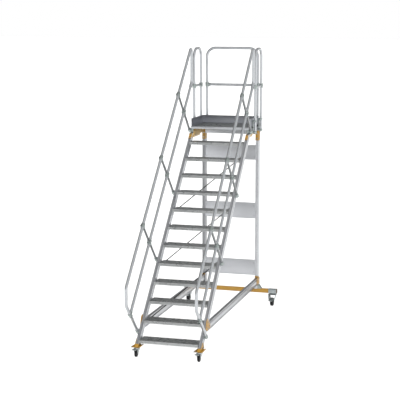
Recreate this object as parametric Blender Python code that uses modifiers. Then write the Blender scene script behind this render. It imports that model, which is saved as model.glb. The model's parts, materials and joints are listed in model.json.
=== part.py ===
"""Mobile warehouse platform stairs: a 45 degree aluminium flight with a guarded
platform on two rear posts, rolling on four braked swivel casters.

Metres, +Z up, the climb goes along +Y. The stairs are drawn in the flight's own
frame, with y = 0 at the nose of the first tread, and hang on one empty that puts
the middle of their footprint on the world origin.
"""

import math

import bmesh
import bpy
from mathutils import Matrix, Vector

# Flight
RISE = 0.2125
GOING = 0.2125
TREADS = 12
PLATFORM_Z = (TREADS + 1) * RISE
CLEAR_WIDTH = 0.80
TREAD_DEPTH = 0.225
TREAD_HEIGHT = 0.038
TREAD_GROOVES = 10
DECK_GROOVES = 30
GROOVE_DEPTH = 0.002
RIB_MARGIN = 0.012
FOOT_LIP = 0.014
SKIN = 0.0025

# Stringers and base beams share one box section.
STRINGER_WIDTH = 0.043
STRINGER_DEPTH_Y = 0.116
STRINGER_FRONT_Y = 0.0382
STRINGER_FOOT_Z = 0.167
PROFILE_WALL = 0.003
STRINGER_WEB_Y = (0.055, 0.061)
BASE_BEAM_Z = (0.315, 0.420)

# Platform
PLATFORM_HALF = 0.432
PLATFORM_FRONT_Y = 2.537
PLATFORM_REAR_Y = 3.228
FRAME_HEIGHT = 0.0595
FRAME_WALL = 0.004
REAR_BEARER_Y = (3.140, 3.228)
REAR_BEARER_DROP = 0.060
MIDDLE_BEARER_Y = (2.830, 2.870)
MIDDLE_BEARER_HEIGHT = 0.026
TOE_HEIGHT = 0.112
TOE_THICKNESS = 0.004
TOE_REAR_Y = 3.147

# Handrails and guards
RAIL_X = 0.4635
RAIL_R = 0.020
KNEE_R = 0.019
ARM_R = 0.016
CLAMP_R = 0.0275
CLAMP_HALF = {"hand": 0.030, "knee": 0.034}
CLAMP_PLAY = 0.0012
ARM_FOOT_OUT = 0.050
ARM_FOOT_HALF = (0.018, 0.030)
TUBE_WALL = 0.002
HANDRAIL_HEIGHT = 1.0854
KNEE_HEIGHT = 0.5454
HANDRAIL_FRONT_Y = -0.290
HANDRAIL_DROP_Y = 2.667
BOTTOM_ARM_ALONG = 0.135
ARMS_ALONG = (1.265, 2.397, 3.537)
GUARD_TOP_Z = 3.8735
GUARD_KNEE_Z = 3.328
TEE_BOSS = 0.052
SIDE_GUARD_Y = (2.800, 3.163)
SIDE_GUARD_FOOT_Z = 2.650
SIDE_GUARD_BEND = 0.130
GUARD_SEAT_HALF_Y = 0.012
GUARD_SEAT_Z = (2.670, 2.720)
REAR_GUARD_X = 0.390
REAR_GUARD_Y = 3.249
REAR_GUARD_FOOT_Z = 2.700
REAR_GUARD_BEND = 0.130

# Rear posts, panels and rear beam
POST_X = (0.390, 0.435)
POST_Y = (3.140, 3.245)
PANEL_Y = (3.150, 3.178)
PANELS_Z = {"lower": (0.459, 0.692), "middle": (1.330, 1.567), "upper": (2.219, 2.438)}
REAR_BEAM_HALF = 0.728
REAR_BEAM_Y = (3.1625, 3.2225)
REAR_BEAM_Z = (0.190, 0.250)
CLAMP_SLEEVE_X = (0.600, 0.722)

# Diagonal braces under the flight
BRACE_R = 0.0065
BRACE_PLANE_Y = 0.275
BRACE_LOW_Y = 0.440
BRACE_RUN_Y = 0.735
BRACE_SPACING_Y = 3 * GOING
BRACE_HALF = 0.406
TAB_SIZE = (0.004, 0.030)
TAB_LIP = 0.012

# Touching pieces keep this gap.
GAP = 0.0003

# Casters: wheel radius, wheel width, height under the mounting plate, trail,
# half width inside the fork, flare of the fork's legs, brake pedal.
CASTERS = {
    "front": {
        "x": 0.4225,
        "y": 0.012,
        "radius": 0.050,
        "width": 0.032,
        "height": 0.1242,
        "trail": 0.040,
        "inside": 0.0185,
        "flare": 0.14,
        "pivot": (-0.062, 0.108),
        "pedal_half": 0.036,
        "pedal_tip": (-0.134, 0.116),
    },
    "rear": {
        "x": 0.660,
        "y": 3.1925,
        "radius": 0.0625,
        "width": 0.046,
        "height": 0.1842,
        "trail": 0.030,
        "inside": 0.0265,
        "flare": 0.27,
        "pivot": (-0.086, 0.118),
        "pedal_half": 0.037,
        "pedal_tip": (-0.142, 0.098),
    },
}
CROWN_HEIGHT = 0.010
CROWN_R = 0.036
LEG_THICKNESS = 0.0035
LEG_FOOT_R = 0.014
LEG_EAR_R = 0.0085
LEG_FRONT_Y = 0.034
AXLE_R = 0.006
PIVOT_R = 0.005
PEDAL_THICKNESS = 0.003
PEDAL_START = 0.0115
PEDAL_CORNER_R = 0.010

# Foot brackets: a tray between each front caster and its stringer.
TRAY_Y = (-0.048, 0.120)
TRAY_HALF = 0.0525
TRAY_THICKNESS = 0.006
TRAY_LIP = (0.003, 0.012)
GUSSET_THICKNESS = 0.004
GUSSET_EDGE = [(0.118, 0.170), (0.098, 0.222), (0.050, 0.222), (-0.046, 0.142)]
SHOE_REAR_Y = 0.108
SHOE_INTO_GUSSET = 0.001

# The footprint's middle, between the handrails' front and the rear guard's clamps.
MIDDLE_Y = (HANDRAIL_FRONT_Y - RAIL_R + REAR_GUARD_Y + CLAMP_R) / 2

SIDES = {"left": -1, "right": 1}

# Turns that lay a drawn outline into the Y-Z plane (extruded along X) and into
# the X-Z plane (extruded along Y).
ACROSS_X = (math.pi / 2, 0, math.pi / 2)
ALONG_Y = (math.pi / 2, 0, 0)


def clear_scene():
    for obj in list(bpy.data.objects):
        bpy.data.objects.remove(obj, do_unlink=True)


def new_collection(name):
    made = bpy.data.collections.new(name)
    bpy.context.scene.collection.children.link(made)
    return made


def metal(name, colour, roughness, metallic=1.0):
    made = bpy.data.materials.new(name)
    made.use_nodes = True
    shader = made.node_tree.nodes["Principled BSDF"]
    shader.inputs["Base Color"].default_value = (*colour, 1.0)
    shader.inputs["Roughness"].default_value = roughness
    shader.inputs["Metallic"].default_value = metallic
    return made


def add(name, data, material, parent=None):
    """A named part in the stairs' collection."""
    obj = bpy.data.objects.new(name, data)
    data.materials.clear()
    data.materials.append(material)
    STAIRS.objects.link(obj)
    obj.parent = parent or ORIGIN
    return obj


def as_helper(obj):
    """Turns a part into a hidden operand of a Boolean."""
    STAIRS.objects.unlink(obj)
    HELPERS.objects.link(obj)
    obj.hide_render = True
    obj.display_type = "WIRE"
    return obj


def combine(target, operation, *others):
    for other in others:
        step = target.modifiers.new(f"{operation.lower()} {other.name}", "BOOLEAN")
        step.operation = operation
        step.object = as_helper(other)
    return target


def mesh_from(bm, name):
    mesh = bpy.data.meshes.new(name)
    bm.to_mesh(mesh)
    bm.free()
    return mesh


def box(name, low, high, material, parent=None):
    bm = bmesh.new()
    bmesh.ops.create_cube(bm, size=1.0)
    size = [b - a for a, b in zip(low, high)]
    middle = [(a + b) / 2 for a, b in zip(low, high)]
    bmesh.ops.transform(bm, matrix=Matrix.LocRotScale(middle, None, size), verts=bm.verts)
    return add(name, mesh_from(bm, name), material, parent)


def rod(name, start, end, radius, material, parent=None, sides=16):
    """A closed round bar between two points."""
    start, end = Vector(start), Vector(end)
    bm = bmesh.new()
    bmesh.ops.create_cone(
        bm, cap_ends=True, segments=sides, radius1=radius, radius2=radius, depth=(end - start).length
    )
    turn = (end - start).to_track_quat("Z", "Y")
    bmesh.ops.transform(bm, matrix=Matrix.LocRotScale((start + end) / 2, turn, None), verts=bm.verts)
    mesh = mesh_from(bm, name)
    mesh.shade_smooth()
    mesh.set_sharp_from_angle(angle=math.radians(40))
    return add(name, mesh, material, parent)


def outline(name, loops, thickness, material):
    """A flat outline, with its holes, extruded evenly about its own plane."""
    curve = bpy.data.curves.new(name, "CURVE")
    curve.dimensions = "2D"
    curve.fill_mode = "BOTH"
    curve.extrude = thickness / 2
    for loop in loops:
        spline = curve.splines.new("POLY")
        spline.points.add(len(loop) - 1)
        spline.use_cyclic_u = True
        for point, (u, v) in zip(spline.points, loop):
            point.co = (u, v, 0, 1)
    return add(name, curve, material)


def tube(name, points, radius, material, wall=None):
    """A round tube along a list of points. With a wall it is hollow and open-ended."""
    curve = bpy.data.curves.new(name, "CURVE")
    curve.dimensions = "3D"
    curve.bevel_depth = radius
    curve.bevel_resolution = 4
    curve.use_fill_caps = wall is None
    spline = curve.splines.new("POLY")
    spline.points.add(len(points) - 1)
    for point, place in zip(spline.points, points):
        point.co = (*place, 1)
    obj = add(name, curve, material)
    if wall:
        shell = obj.modifiers.new("wall", "SOLIDIFY")
        shell.thickness = wall
        shell.offset = -1
    return obj


def as_mesh(curve_object):
    """The same shape as a mesh with its caps welded on, for Booleans and shearing."""
    bpy.context.view_layer.update()
    name = curve_object.name
    material = curve_object.data.materials[0]
    graph = bpy.context.evaluated_depsgraph_get()
    mesh = bpy.data.meshes.new_from_object(curve_object.evaluated_get(graph))
    bm = bmesh.new()
    bm.from_mesh(mesh)
    bmesh.ops.remove_doubles(bm, verts=bm.verts, dist=0.00001)
    bmesh.ops.recalc_face_normals(bm, faces=bm.faces)
    bm.transform(ORIGIN.matrix_world.inverted() @ curve_object.matrix_world)
    bm.to_mesh(mesh)
    bm.free()
    bpy.data.objects.remove(curve_object, do_unlink=True)
    return add(name, mesh, material)


def rectangle(low, high):
    return [(low[0], low[1]), (high[0], low[1]), (high[0], high[1]), (low[0], high[1])]


def hollow_section(low, high, wall, chambers=1):
    """A box section's outline with one or more chambers in a row along its second axis."""
    loops = [rectangle(low, high)]
    pitch = (high[1] - low[1] - wall) / chambers
    for n in range(chambers):
        start = low[1] + n * pitch
        loops.append(rectangle((low[0] + wall, start + wall), (high[0] - wall, start + pitch)))
    return loops


def arc(centre, radius, start, end, steps):
    """Points on a circle, with angles in degrees."""
    angles = [math.radians(start + (end - start) * n / steps) for n in range(steps + 1)]
    return [(centre[0] + radius * math.cos(a), centre[1] + radius * math.sin(a)) for a in angles]


def bent(corners, radii, step=15):
    """A route through corner points, each corner rounded to its bend radius."""
    corners = [Vector(corner) for corner in corners]
    points = [corners[0]]
    for before, corner, after, radius in zip(corners, corners[1:], corners[2:], radii):
        into, out = (before - corner).normalized(), (after - corner).normalized()
        half = into.angle(out) / 2
        centre = corner + (into + out).normalized() * radius / math.sin(half)
        start = corner + into * radius / math.tan(half) - centre
        end = corner + out * radius / math.tan(half) - centre
        turn = start.angle(end)
        steps = max(2, round(math.degrees(turn) / step))
        axis = start.cross(end)
        for n in range(steps + 1):
            points.append(centre + Matrix.Rotation(turn * n / steps, 3, axis) @ start)
    points.append(corners[-1])
    return points


def flight_point(along, out):
    """(y, z) of a point `along` the stringers' front edge and `out` square to it."""
    y = STRINGER_FRONT_Y + (along - out) / math.sqrt(2)
    z = RISE + (along + out) / math.sqrt(2)
    return y, z


def rail_z(height, y):
    return RISE + height + y - STRINGER_FRONT_Y


def tread_outline(depth, grooves, webs):
    """A ribbed plank seen from its end: nose at the origin, open underneath."""
    pitch = (depth - 2 * RIB_MARGIN) / (2 * grooves - 1)
    top = GROOVE_DEPTH + SKIN
    points = [(0, -TREAD_HEIGHT), (0, -0.004), (0.004, 0)]
    for n in range(grooves):
        start = RIB_MARGIN + 2 * n * pitch
        points += [(start, 0), (start, -GROOVE_DEPTH)]
        points += [(start + pitch, -GROOVE_DEPTH), (start + pitch, 0)]
    points += [(depth, 0), (depth, -TREAD_HEIGHT), (depth - FOOT_LIP, -TREAD_HEIGHT)]
    points += [(depth - FOOT_LIP, SKIN - TREAD_HEIGHT), (depth - SKIN, SKIN - TREAD_HEIGHT)]
    points.append((depth - SKIN, -top))
    for n in range(webs, 0, -1):
        y = depth * n / (webs + 1)
        points += [(y + SKIN / 2, -top), (y + SKIN / 2, 0.006 - TREAD_HEIGHT)]
        points += [(y - SKIN / 2, 0.006 - TREAD_HEIGHT), (y - SKIN / 2, -top)]
    points += [(SKIN, -top), (SKIN, SKIN - TREAD_HEIGHT), (FOOT_LIP, SKIN - TREAD_HEIGHT)]
    points.append((FOOT_LIP, -TREAD_HEIGHT))
    return points


def make_treads():
    length = CLEAR_WIDTH - 2 * GAP
    for number in range(1, TREADS + 1):
        name = f"tread_{number:02d}"
        tread = outline(name, [tread_outline(TREAD_DEPTH, TREAD_GROOVES, 2)], length, ribbed_alu)
        tread.rotation_euler = ACROSS_X
        tread.location = (0, (number - 1) * GOING, number * RISE)


def make_stringers():
    top = PLATFORM_Z - TREAD_HEIGHT - FRAME_HEIGHT - 2 * GAP
    middle = (STRINGER_FOOT_Z + top) / 2
    wall_y = PROFILE_WALL * math.sqrt(2)
    for side_name, side in SIDES.items():
        loops = [
            rectangle((0, 0), (STRINGER_WIDTH, STRINGER_DEPTH_Y)),
            rectangle((PROFILE_WALL, wall_y), (STRINGER_WIDTH - PROFILE_WALL, STRINGER_WEB_Y[0])),
            rectangle(
                (PROFILE_WALL, STRINGER_WEB_Y[1]),
                (STRINGER_WIDTH - PROFILE_WALL, STRINGER_DEPTH_Y - wall_y),
            ),
        ]
        stringer = outline(f"stringer_{side_name}", loops, top - STRINGER_FOOT_Z, satin_alu)
        inner_edge = side * CLEAR_WIDTH / 2 - (STRINGER_WIDTH if side < 0 else 0)
        stringer.location = (inner_edge, 0, middle)
        stringer = as_mesh(stringer)
        for vertex in stringer.data.vertices:
            vertex.co.y += STRINGER_FRONT_Y + vertex.co.z - RISE


def make_base_beams():
    low, high = BASE_BEAM_Z
    front = STRINGER_FRONT_Y + STRINGER_DEPTH_Y + low - RISE + 2 * GAP
    rear = POST_Y[0] - GAP
    for side_name, side in SIDES.items():
        inner = CLEAR_WIDTH / 2 + GAP
        outer = CLEAR_WIDTH / 2 + STRINGER_WIDTH
        x_range = sorted((side * inner, side * outer))
        loops = hollow_section((x_range[0], low), (x_range[1], high), PROFILE_WALL, chambers=2)
        beam = outline(f"base_beam_{side_name}", loops, rear - front, satin_alu)
        beam.rotation_euler = ALONG_Y
        beam.location = (0, (front + rear) / 2, 0)
        beam = as_mesh(beam)
        for vertex in beam.data.vertices:
            if vertex.co.y < (front + rear) / 2:
                vertex.co.y += vertex.co.z - low


def make_braces():
    """Three tie rods behind the treads, hung on tabs under the stringers.

    The lowest end needs no tab, because it meets the base beam's inner face.
    """
    drop = (BRACE_PLANE_Y - STRINGER_DEPTH_Y - STRINGER_FRONT_Y) / math.sqrt(2)
    for number in range(3):
        low_y = BRACE_LOW_Y + number * BRACE_SPACING_Y
        ends = []
        tabs = []
        for side, y in ((-1, low_y), (1, low_y + BRACE_RUN_Y)):
            z = RISE + y - BRACE_PLANE_Y
            meets_beam = z < BASE_BEAM_Z[1] + 0.015
            half = CLEAR_WIDTH / 2 - BRACE_R if meets_beam else BRACE_HALF
            ends.append(Vector((side * half, y, z)))
            if not meets_beam:
                tabs.append(Vector((side * half, y, z)))
        brace = rod(f"diagonal_brace_{number + 1}", *ends, BRACE_R, satin_alu, sides=10)
        for count, place in enumerate(tabs, 1):
            low = (-TAB_SIZE[0] / 2, -TAB_SIZE[1] / 2, -TAB_LIP)
            high = (TAB_SIZE[0] / 2, TAB_SIZE[1] / 2, drop - GAP)
            tab = box(f"{brace.name}_tab_{count}", low, high, satin_alu)
            tab.location = place
            tab.rotation_euler = (math.pi / 4, 0, 0)
            combine(brace, "UNION", tab)


def make_platform():
    deck_depth = PLATFORM_REAR_Y - PLATFORM_FRONT_Y
    deck_outline = tread_outline(deck_depth, DECK_GROOVES, 5)
    deck = outline("platform_deck", [deck_outline], 2 * PLATFORM_HALF, ribbed_alu)
    deck.rotation_euler = ACROSS_X
    deck.location = (0, PLATFORM_FRONT_Y, PLATFORM_Z)

    make_platform_frame()


def make_platform_frame():
    """Two side beams and a rear bearer in one frame, open to the front under the deck.

    A slim bearer crosses half way, and the rear bearer has an apron between the posts.
    """
    inner = CLEAR_WIDTH / 2
    front, rear = PLATFORM_FRONT_Y, PLATFORM_REAR_Y
    bearer = REAR_BEARER_Y[0]
    top = PLATFORM_Z - TREAD_HEIGHT - GAP
    bottom = top - FRAME_HEIGHT
    shape = [
        (-PLATFORM_HALF, front),
        (-inner, front),
        (-inner, bearer),
        (inner, bearer),
        (inner, front),
        (PLATFORM_HALF, front),
        (PLATFORM_HALF, rear),
        (-PLATFORM_HALF, rear),
    ]
    chambers = [rectangle((-inner, bearer + FRAME_WALL), (inner, rear - FRAME_WALL))]
    for low_x in (-PLATFORM_HALF, inner):
        high_x = low_x + PLATFORM_HALF - inner
        low = (low_x + FRAME_WALL, front + FRAME_WALL)
        chambers.append(rectangle(low, (high_x - FRAME_WALL, bearer - FRAME_WALL)))
    frame = outline("platform_frame", [shape, *chambers], FRAME_HEIGHT, satin_alu)
    frame.location = (0, 0, top - FRAME_HEIGHT / 2)
    frame = as_mesh(frame)
    overlap = FRAME_WALL / 2
    low = (-POST_X[0] + GAP, bearer + GAP, bottom - REAR_BEARER_DROP)
    high = (POST_X[0] - GAP, bearer + FRAME_WALL - GAP, bottom + overlap)
    apron = box("platform_frame_apron", low, high, satin_alu)
    low = (-inner - overlap, MIDDLE_BEARER_Y[0], top - MIDDLE_BEARER_HEIGHT)
    high = (inner + overlap, MIDDLE_BEARER_Y[1], top - GAP)
    middle = box("platform_frame_middle", low, high, satin_alu)
    combine(frame, "UNION", apron, middle)


def make_toe_boards():
    low_z = PLATFORM_Z + GAP
    high_z = low_z + TOE_HEIGHT
    inner = PLATFORM_HALF - TOE_THICKNESS
    front_y = PLATFORM_FRONT_Y + 0.008
    for side_name, side in SIDES.items():
        x_low, x_high = sorted((side * inner, side * PLATFORM_HALF))
        rear_y = TOE_REAR_Y + TOE_THICKNESS
        box(f"toe_board_{side_name}", (x_low, front_y, low_z), (x_high, rear_y, high_z), dark_alu)
    reach = inner - GAP
    low, high = (-reach, TOE_REAR_Y, low_z), (reach, TOE_REAR_Y + TOE_THICKNESS, high_z)
    box("toe_board_rear", low, high, dark_alu)


def make_handrails():
    front = HANDRAIL_FRONT_Y
    drop = HANDRAIL_DROP_Y
    foot = flight_point(BOTTOM_ARM_ALONG, -ARM_FOOT_OUT)
    leg_corner_z = RISE + STRINGER_FRONT_Y + BOTTOM_ARM_ALONG * math.sqrt(2) - front
    knee_low_y = flight_point(BOTTOM_ARM_ALONG, KNEE_HEIGHT / math.sqrt(2))[0]
    for side_name, side in SIDES.items():
        x = side * RAIL_X
        corners = [
            (x, drop, rail_z(KNEE_HEIGHT, drop) - 0.020),
            (x, drop, rail_z(HANDRAIL_HEIGHT, drop)),
            (x, front, rail_z(HANDRAIL_HEIGHT, front)),
            (x, front, leg_corner_z),
            (x, *foot),
        ]
        route = bent(corners, (0.040, 0.080, 0.080))
        tube(f"handrail_{side_name}", route, RAIL_R, tube_alu, TUBE_WALL)

        low_y = knee_low_y + (RAIL_R + 0.001) / math.sqrt(2)
        high_y = drop - 0.042 / math.sqrt(2)
        knee = [(x, y, rail_z(KNEE_HEIGHT, y)) for y in (low_y, high_y)]
        tube(f"knee_rail_{side_name}", knee, KNEE_R, tube_alu, TUBE_WALL)


def make_rail_arms():
    """Arms square to the stringers, clamped round the knee rail and under the handrail."""
    slope = Vector((0, 1, 1)).normalized()
    for side_name, side in SIDES.items():
        x = side * RAIL_X
        for number, along in enumerate(ARMS_ALONG, 1):
            name = f"rail_arm_{side_name}_{number}"
            foot = Vector((x, *flight_point(along, -ARM_FOOT_OUT)))
            hand = Vector((x, *flight_point(along, HANDRAIL_HEIGHT / math.sqrt(2))))
            knee = Vector((x, *flight_point(along, KNEE_HEIGHT / math.sqrt(2))))
            arm = rod(name, foot, hand, ARM_R, clamp_grey, sides=12)
            clamps = []
            for label, middle in (("hand", hand), ("knee", knee)):
                half = CLAMP_HALF[label]
                ends = (middle - slope * half, middle + slope * half)
                clamps.append(rod(f"{name}_{label}_clamp", *ends, CLAMP_R, clamp_grey, sides=12))
            seat = PLATFORM_HALF if number == len(ARMS_ALONG) else CLEAR_WIDTH / 2 + STRINGER_WIDTH
            x_low, x_high = sorted((side * (seat + GAP) - x, side * (RAIL_X - 0.004) - x))
            half_y, half_z = ARM_FOOT_HALF
            block = box(f"{name}_foot", (x_low, -half_y, -half_z), (x_high, half_y, half_z), clamp_grey)
            block.location = Vector((x, *flight_point(along, -0.020)))
            block.rotation_euler = (math.pi / 4, 0, 0)
            combine(arm, "UNION", *clamps, block)
            out = (hand - foot).normalized()
            bore = rod(f"{name}_bore", foot - out * 0.01, hand, ARM_R - TUBE_WALL, clamp_grey, sides=12)
            bores = [bore]
            for label, middle, radius in (("hand", hand, RAIL_R), ("knee", knee, KNEE_R)):
                ends = (middle - slope * 0.05, middle + slope * 0.05)
                bores.append(rod(f"{name}_{label}_bore", *ends, radius + CLAMP_PLAY, clamp_grey, sides=16))
            combine(arm, "DIFFERENCE", *bores)


def make_tee(name, place, way):
    """A collar on an upright with a boss towards the knee rail."""
    half = Vector((0, 0, CLAMP_HALF["hand"]))
    collar = rod(f"{name}_collar", place - half, place + half, CLAMP_R, clamp_grey, sides=12)
    boss = rod(f"{name}_boss", place, place + way * TEE_BOSS, KNEE_R + 0.005, clamp_grey, sides=12)
    return [collar, boss]


def make_guard(name, feet, foot_z, bend, seats):
    """A hoop of tube with its knee rail, hollow right through."""
    first, last = feet
    knee = [Vector((*foot, GUARD_KNEE_Z)) for foot in feet]
    way = (knee[1] - knee[0]).normalized()
    tees = make_tee(f"{name}_first", knee[0], way) + make_tee(f"{name}_last", knee[1], -way)
    parts = {}
    for kind, thinner, drop in (("outer", 0, 0), ("inner", TUBE_WALL, 0.01)):
        corners = [
            (*first, foot_z - drop),
            (*first, GUARD_TOP_Z),
            (*last, GUARD_TOP_Z),
            (*last, foot_z - drop),
        ]
        label = name if kind == "outer" else f"{name}_bore"
        parts[kind] = as_mesh(tube(label, bent(corners, (bend, bend)), RAIL_R - thinner, tube_alu))
        parts[f"knee_{kind}"] = rod(f"{name}_knee_{kind}", *knee, KNEE_R - thinner, tube_alu, sides=12)
    combine(parts["outer"], "UNION", parts["knee_outer"], *tees, *seats)
    combine(parts["outer"], "DIFFERENCE", parts["inner"], parts["knee_inner"])


def make_guards():
    for side_name, side in SIDES.items():
        x = side * RAIL_X
        feet = [(x, y) for y in SIDE_GUARD_Y]
        name = f"side_guard_{side_name}"
        seats = []
        x_low, x_high = sorted((side * (PLATFORM_HALF + GAP), side * (RAIL_X - RAIL_R + 0.0015)))
        for label, y in zip(("front", "rear"), SIDE_GUARD_Y):
            low = (x_low, y - GUARD_SEAT_HALF_Y, GUARD_SEAT_Z[0])
            high = (x_high, y + GUARD_SEAT_HALF_Y, GUARD_SEAT_Z[1])
            seats.append(box(f"{name}_{label}_seat", low, high, tube_alu))
        make_guard(name, feet, SIDE_GUARD_FOOT_Z, SIDE_GUARD_BEND, seats)
    feet = [(side * REAR_GUARD_X, REAR_GUARD_Y) for side in SIDES.values()]
    make_guard("rear_guard", feet, REAR_GUARD_FOOT_Z, REAR_GUARD_BEND, [])


def make_rear_frame():
    post_top = PLATFORM_Z - TREAD_HEIGHT - FRAME_HEIGHT - 2 * GAP
    post_foot = REAR_BEAM_Z[1] + GAP
    for side_name, side in SIDES.items():
        x_low, x_high = sorted(side * x for x in POST_X)
        loops = hollow_section((x_low, POST_Y[0]), (x_high, POST_Y[1]), PROFILE_WALL, chambers=2)
        post = outline(f"rear_post_{side_name}", loops, post_top - post_foot, satin_alu)
        post.location = (0, 0, (post_top + post_foot) / 2)
    for place, (low, high) in PANELS_Z.items():
        loops = hollow_section((PANEL_Y[0], low), (PANEL_Y[1], high), SKIN, chambers=3)
        panel = outline(f"rear_panel_{place}", loops, 2 * (POST_X[0] - GAP), satin_alu)
        panel.rotation_euler = ACROSS_X
    low, high = zip(REAR_BEAM_Y, REAR_BEAM_Z)
    beam = outline("rear_beam", hollow_section(low, high, PROFILE_WALL), 2 * REAR_BEAM_HALF, ochre)
    beam.rotation_euler = ACROSS_X


def make_caster_sleeves():
    """Pressed sleeves over the rear beam's ends. Their floors carry the casters."""
    wall, floor = 0.003, 0.005
    y_low, y_high = REAR_BEAM_Y[0] - GAP, REAR_BEAM_Y[1] + GAP
    z_low, z_high = REAR_BEAM_Z[0] - GAP, REAR_BEAM_Z[1] + GAP
    outer = rectangle((y_low - wall, z_low - floor), (y_high + wall, z_high + wall))
    inner = rectangle((y_low, z_low), (y_high, z_high))
    for side_name, side in SIDES.items():
        length = CLAMP_SLEEVE_X[1] - CLAMP_SLEEVE_X[0]
        sleeve = outline(f"caster_sleeve_{side_name}", [outer, inner], length, zinc)
        sleeve.rotation_euler = ACROSS_X
        sleeve.location = (side * sum(CLAMP_SLEEVE_X) / 2, 0, 0)


def make_foot_brackets():
    """A shallow tray over each front caster, with a shoe under the stringer's foot.

    The shoe's front carries on the stringer's slope, and a gusset rises from the
    tray up the stringer's outer face.
    """
    bottom = CASTERS["front"]["height"] + GAP
    top = bottom + TRAY_THICKNESS
    front, rear = TRAY_Y
    lip_wall, lip_height = TRAY_LIP
    stringer_outer = CLEAR_WIDTH / 2 + STRINGER_WIDTH
    shoe_top = STRINGER_FOOT_Z - GAP
    shoe_front = STRINGER_FRONT_Y + shoe_top - RISE
    shoe_width = STRINGER_WIDTH + GAP + SHOE_INTO_GUSSET
    for side_name, side in SIDES.items():
        name = f"foot_bracket_{side_name}"
        x = side * CASTERS["front"]["x"]
        bracket = box(name, (x - TRAY_HALF, front, bottom), (x + TRAY_HALF, rear, top), ochre)
        pieces = []
        for label, edge in (("left", x - TRAY_HALF), ("right", x + TRAY_HALF - lip_wall)):
            low = (edge, front + 0.004, bottom + 0.001)
            high = (edge + lip_wall, rear - 0.004, top + lip_height)
            pieces.append(box(f"{name}_{label}_lip", low, high, ochre))
        shape = [
            (shoe_front - shoe_top + top - 0.001, top - 0.001),
            (SHOE_REAR_Y, top - 0.001),
            (SHOE_REAR_Y, shoe_top),
            (shoe_front, shoe_top),
        ]
        shoe = outline(f"{name}_shoe", [shape], shoe_width, ochre)
        shoe.rotation_euler = ACROSS_X
        shoe.location = (side * (CLEAR_WIDTH + shoe_width) / 2, 0, 0)
        pieces.append(as_mesh(shoe))
        shape = [
            (front + 0.002, bottom + 0.001),
            (rear - 0.002, bottom + 0.001),
            *GUSSET_EDGE,
        ]
        gusset = outline(f"{name}_gusset", [shape], GUSSET_THICKNESS, ochre)
        gusset.rotation_euler = ACROSS_X
        gusset.location = (side * (stringer_outer + GAP + GUSSET_THICKNESS / 2), 0, 0)
        combine(bracket, "UNION", *pieces, as_mesh(gusset))


def make_fork(name, size, pivot):
    """Crown, two flared legs and the fixed axle, in one piece."""
    top = size["height"] - CROWN_HEIGHT
    axle = (-size["trail"], size["radius"])
    ear = size["pivot"]
    leg_shape = [
        (LEG_FRONT_Y, top),
        (ear[0] + 0.006, top),
        *arc(ear, LEG_EAR_R, 100, 250, 5),
        (axle[0] - LEG_FOOT_R - 0.004, axle[1] + 0.012),
        *arc(axle, LEG_FOOT_R, 180, 330, 6),
        (LEG_FRONT_Y - 0.006, top - 0.022),
    ]
    crown = rod(name, (0, 0, top - 0.001), (0, 0, size["height"]), CROWN_R, zinc, pivot, sides=24)
    middle = size["inside"] + LEG_THICKNESS / 2
    flare = size["flare"]
    reach = middle + flare * (top - size["radius"])
    bridge = box(
        f"{name}_bridge",
        (-reach, ear[0] + 0.026, top - 0.004),
        (reach, LEG_FRONT_Y, top + 0.0005),
        zinc,
        pivot,
    )
    pieces = [bridge]
    for label, side in SIDES.items():
        leg = outline(f"{name}_{label}_leg", [leg_shape], LEG_THICKNESS, zinc)
        leg.rotation_euler = ACROSS_X
        leg = as_mesh(leg)
        leg.parent = pivot
        for vertex in leg.data.vertices:
            vertex.co.x += side * (middle + flare * (vertex.co.z - size["radius"]))
        pieces.append(leg)
    axle_half = middle + 0.006
    ends = ((-axle_half, *axle), (axle_half, *axle))
    pieces.append(rod(f"{name}_axle", *ends, AXLE_R, zinc, pivot))
    return combine(crown, "UNION", *pieces)


def make_wheel(name, size, pivot):
    """Tyre and hub turned about the axle, with the lowest corner on the floor."""
    radius, half = size["radius"], size["width"] / 2
    bore = AXLE_R + GAP
    hub_half = size["inside"] - size["flare"] * LEG_FOOT_R - 0.001
    tread = 0.006
    profile = [
        (bore, hub_half),
        (0.014, hub_half),
        (0.015, half - 0.006),
        (radius * 0.68, half - 0.005),
        (radius * 0.72, half),
        (radius - tread, half),
        (radius, half - 0.010),
    ]
    profile += [(r, -x) for r, x in reversed(profile)]
    bm = bmesh.new()
    verts = [bm.verts.new((r, 0, x)) for r, x in profile]
    for first, second in zip(verts, verts[1:] + verts[:1]):
        bm.edges.new((first, second))
    wheel = add(name, mesh_from(bm, name), tyre, pivot)
    turn = wheel.modifiers.new("turn", "SCREW")
    turn.steps = turn.render_steps = 32
    turn.axis = "Z"
    turn.use_merge_vertices = True
    turn.merge_threshold = 0.00001
    turn.use_smooth_shade = True
    wheel.rotation_euler = (0, math.pi / 2, 0)
    wheel.location = (0, -size["trail"], size["radius"])


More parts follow.
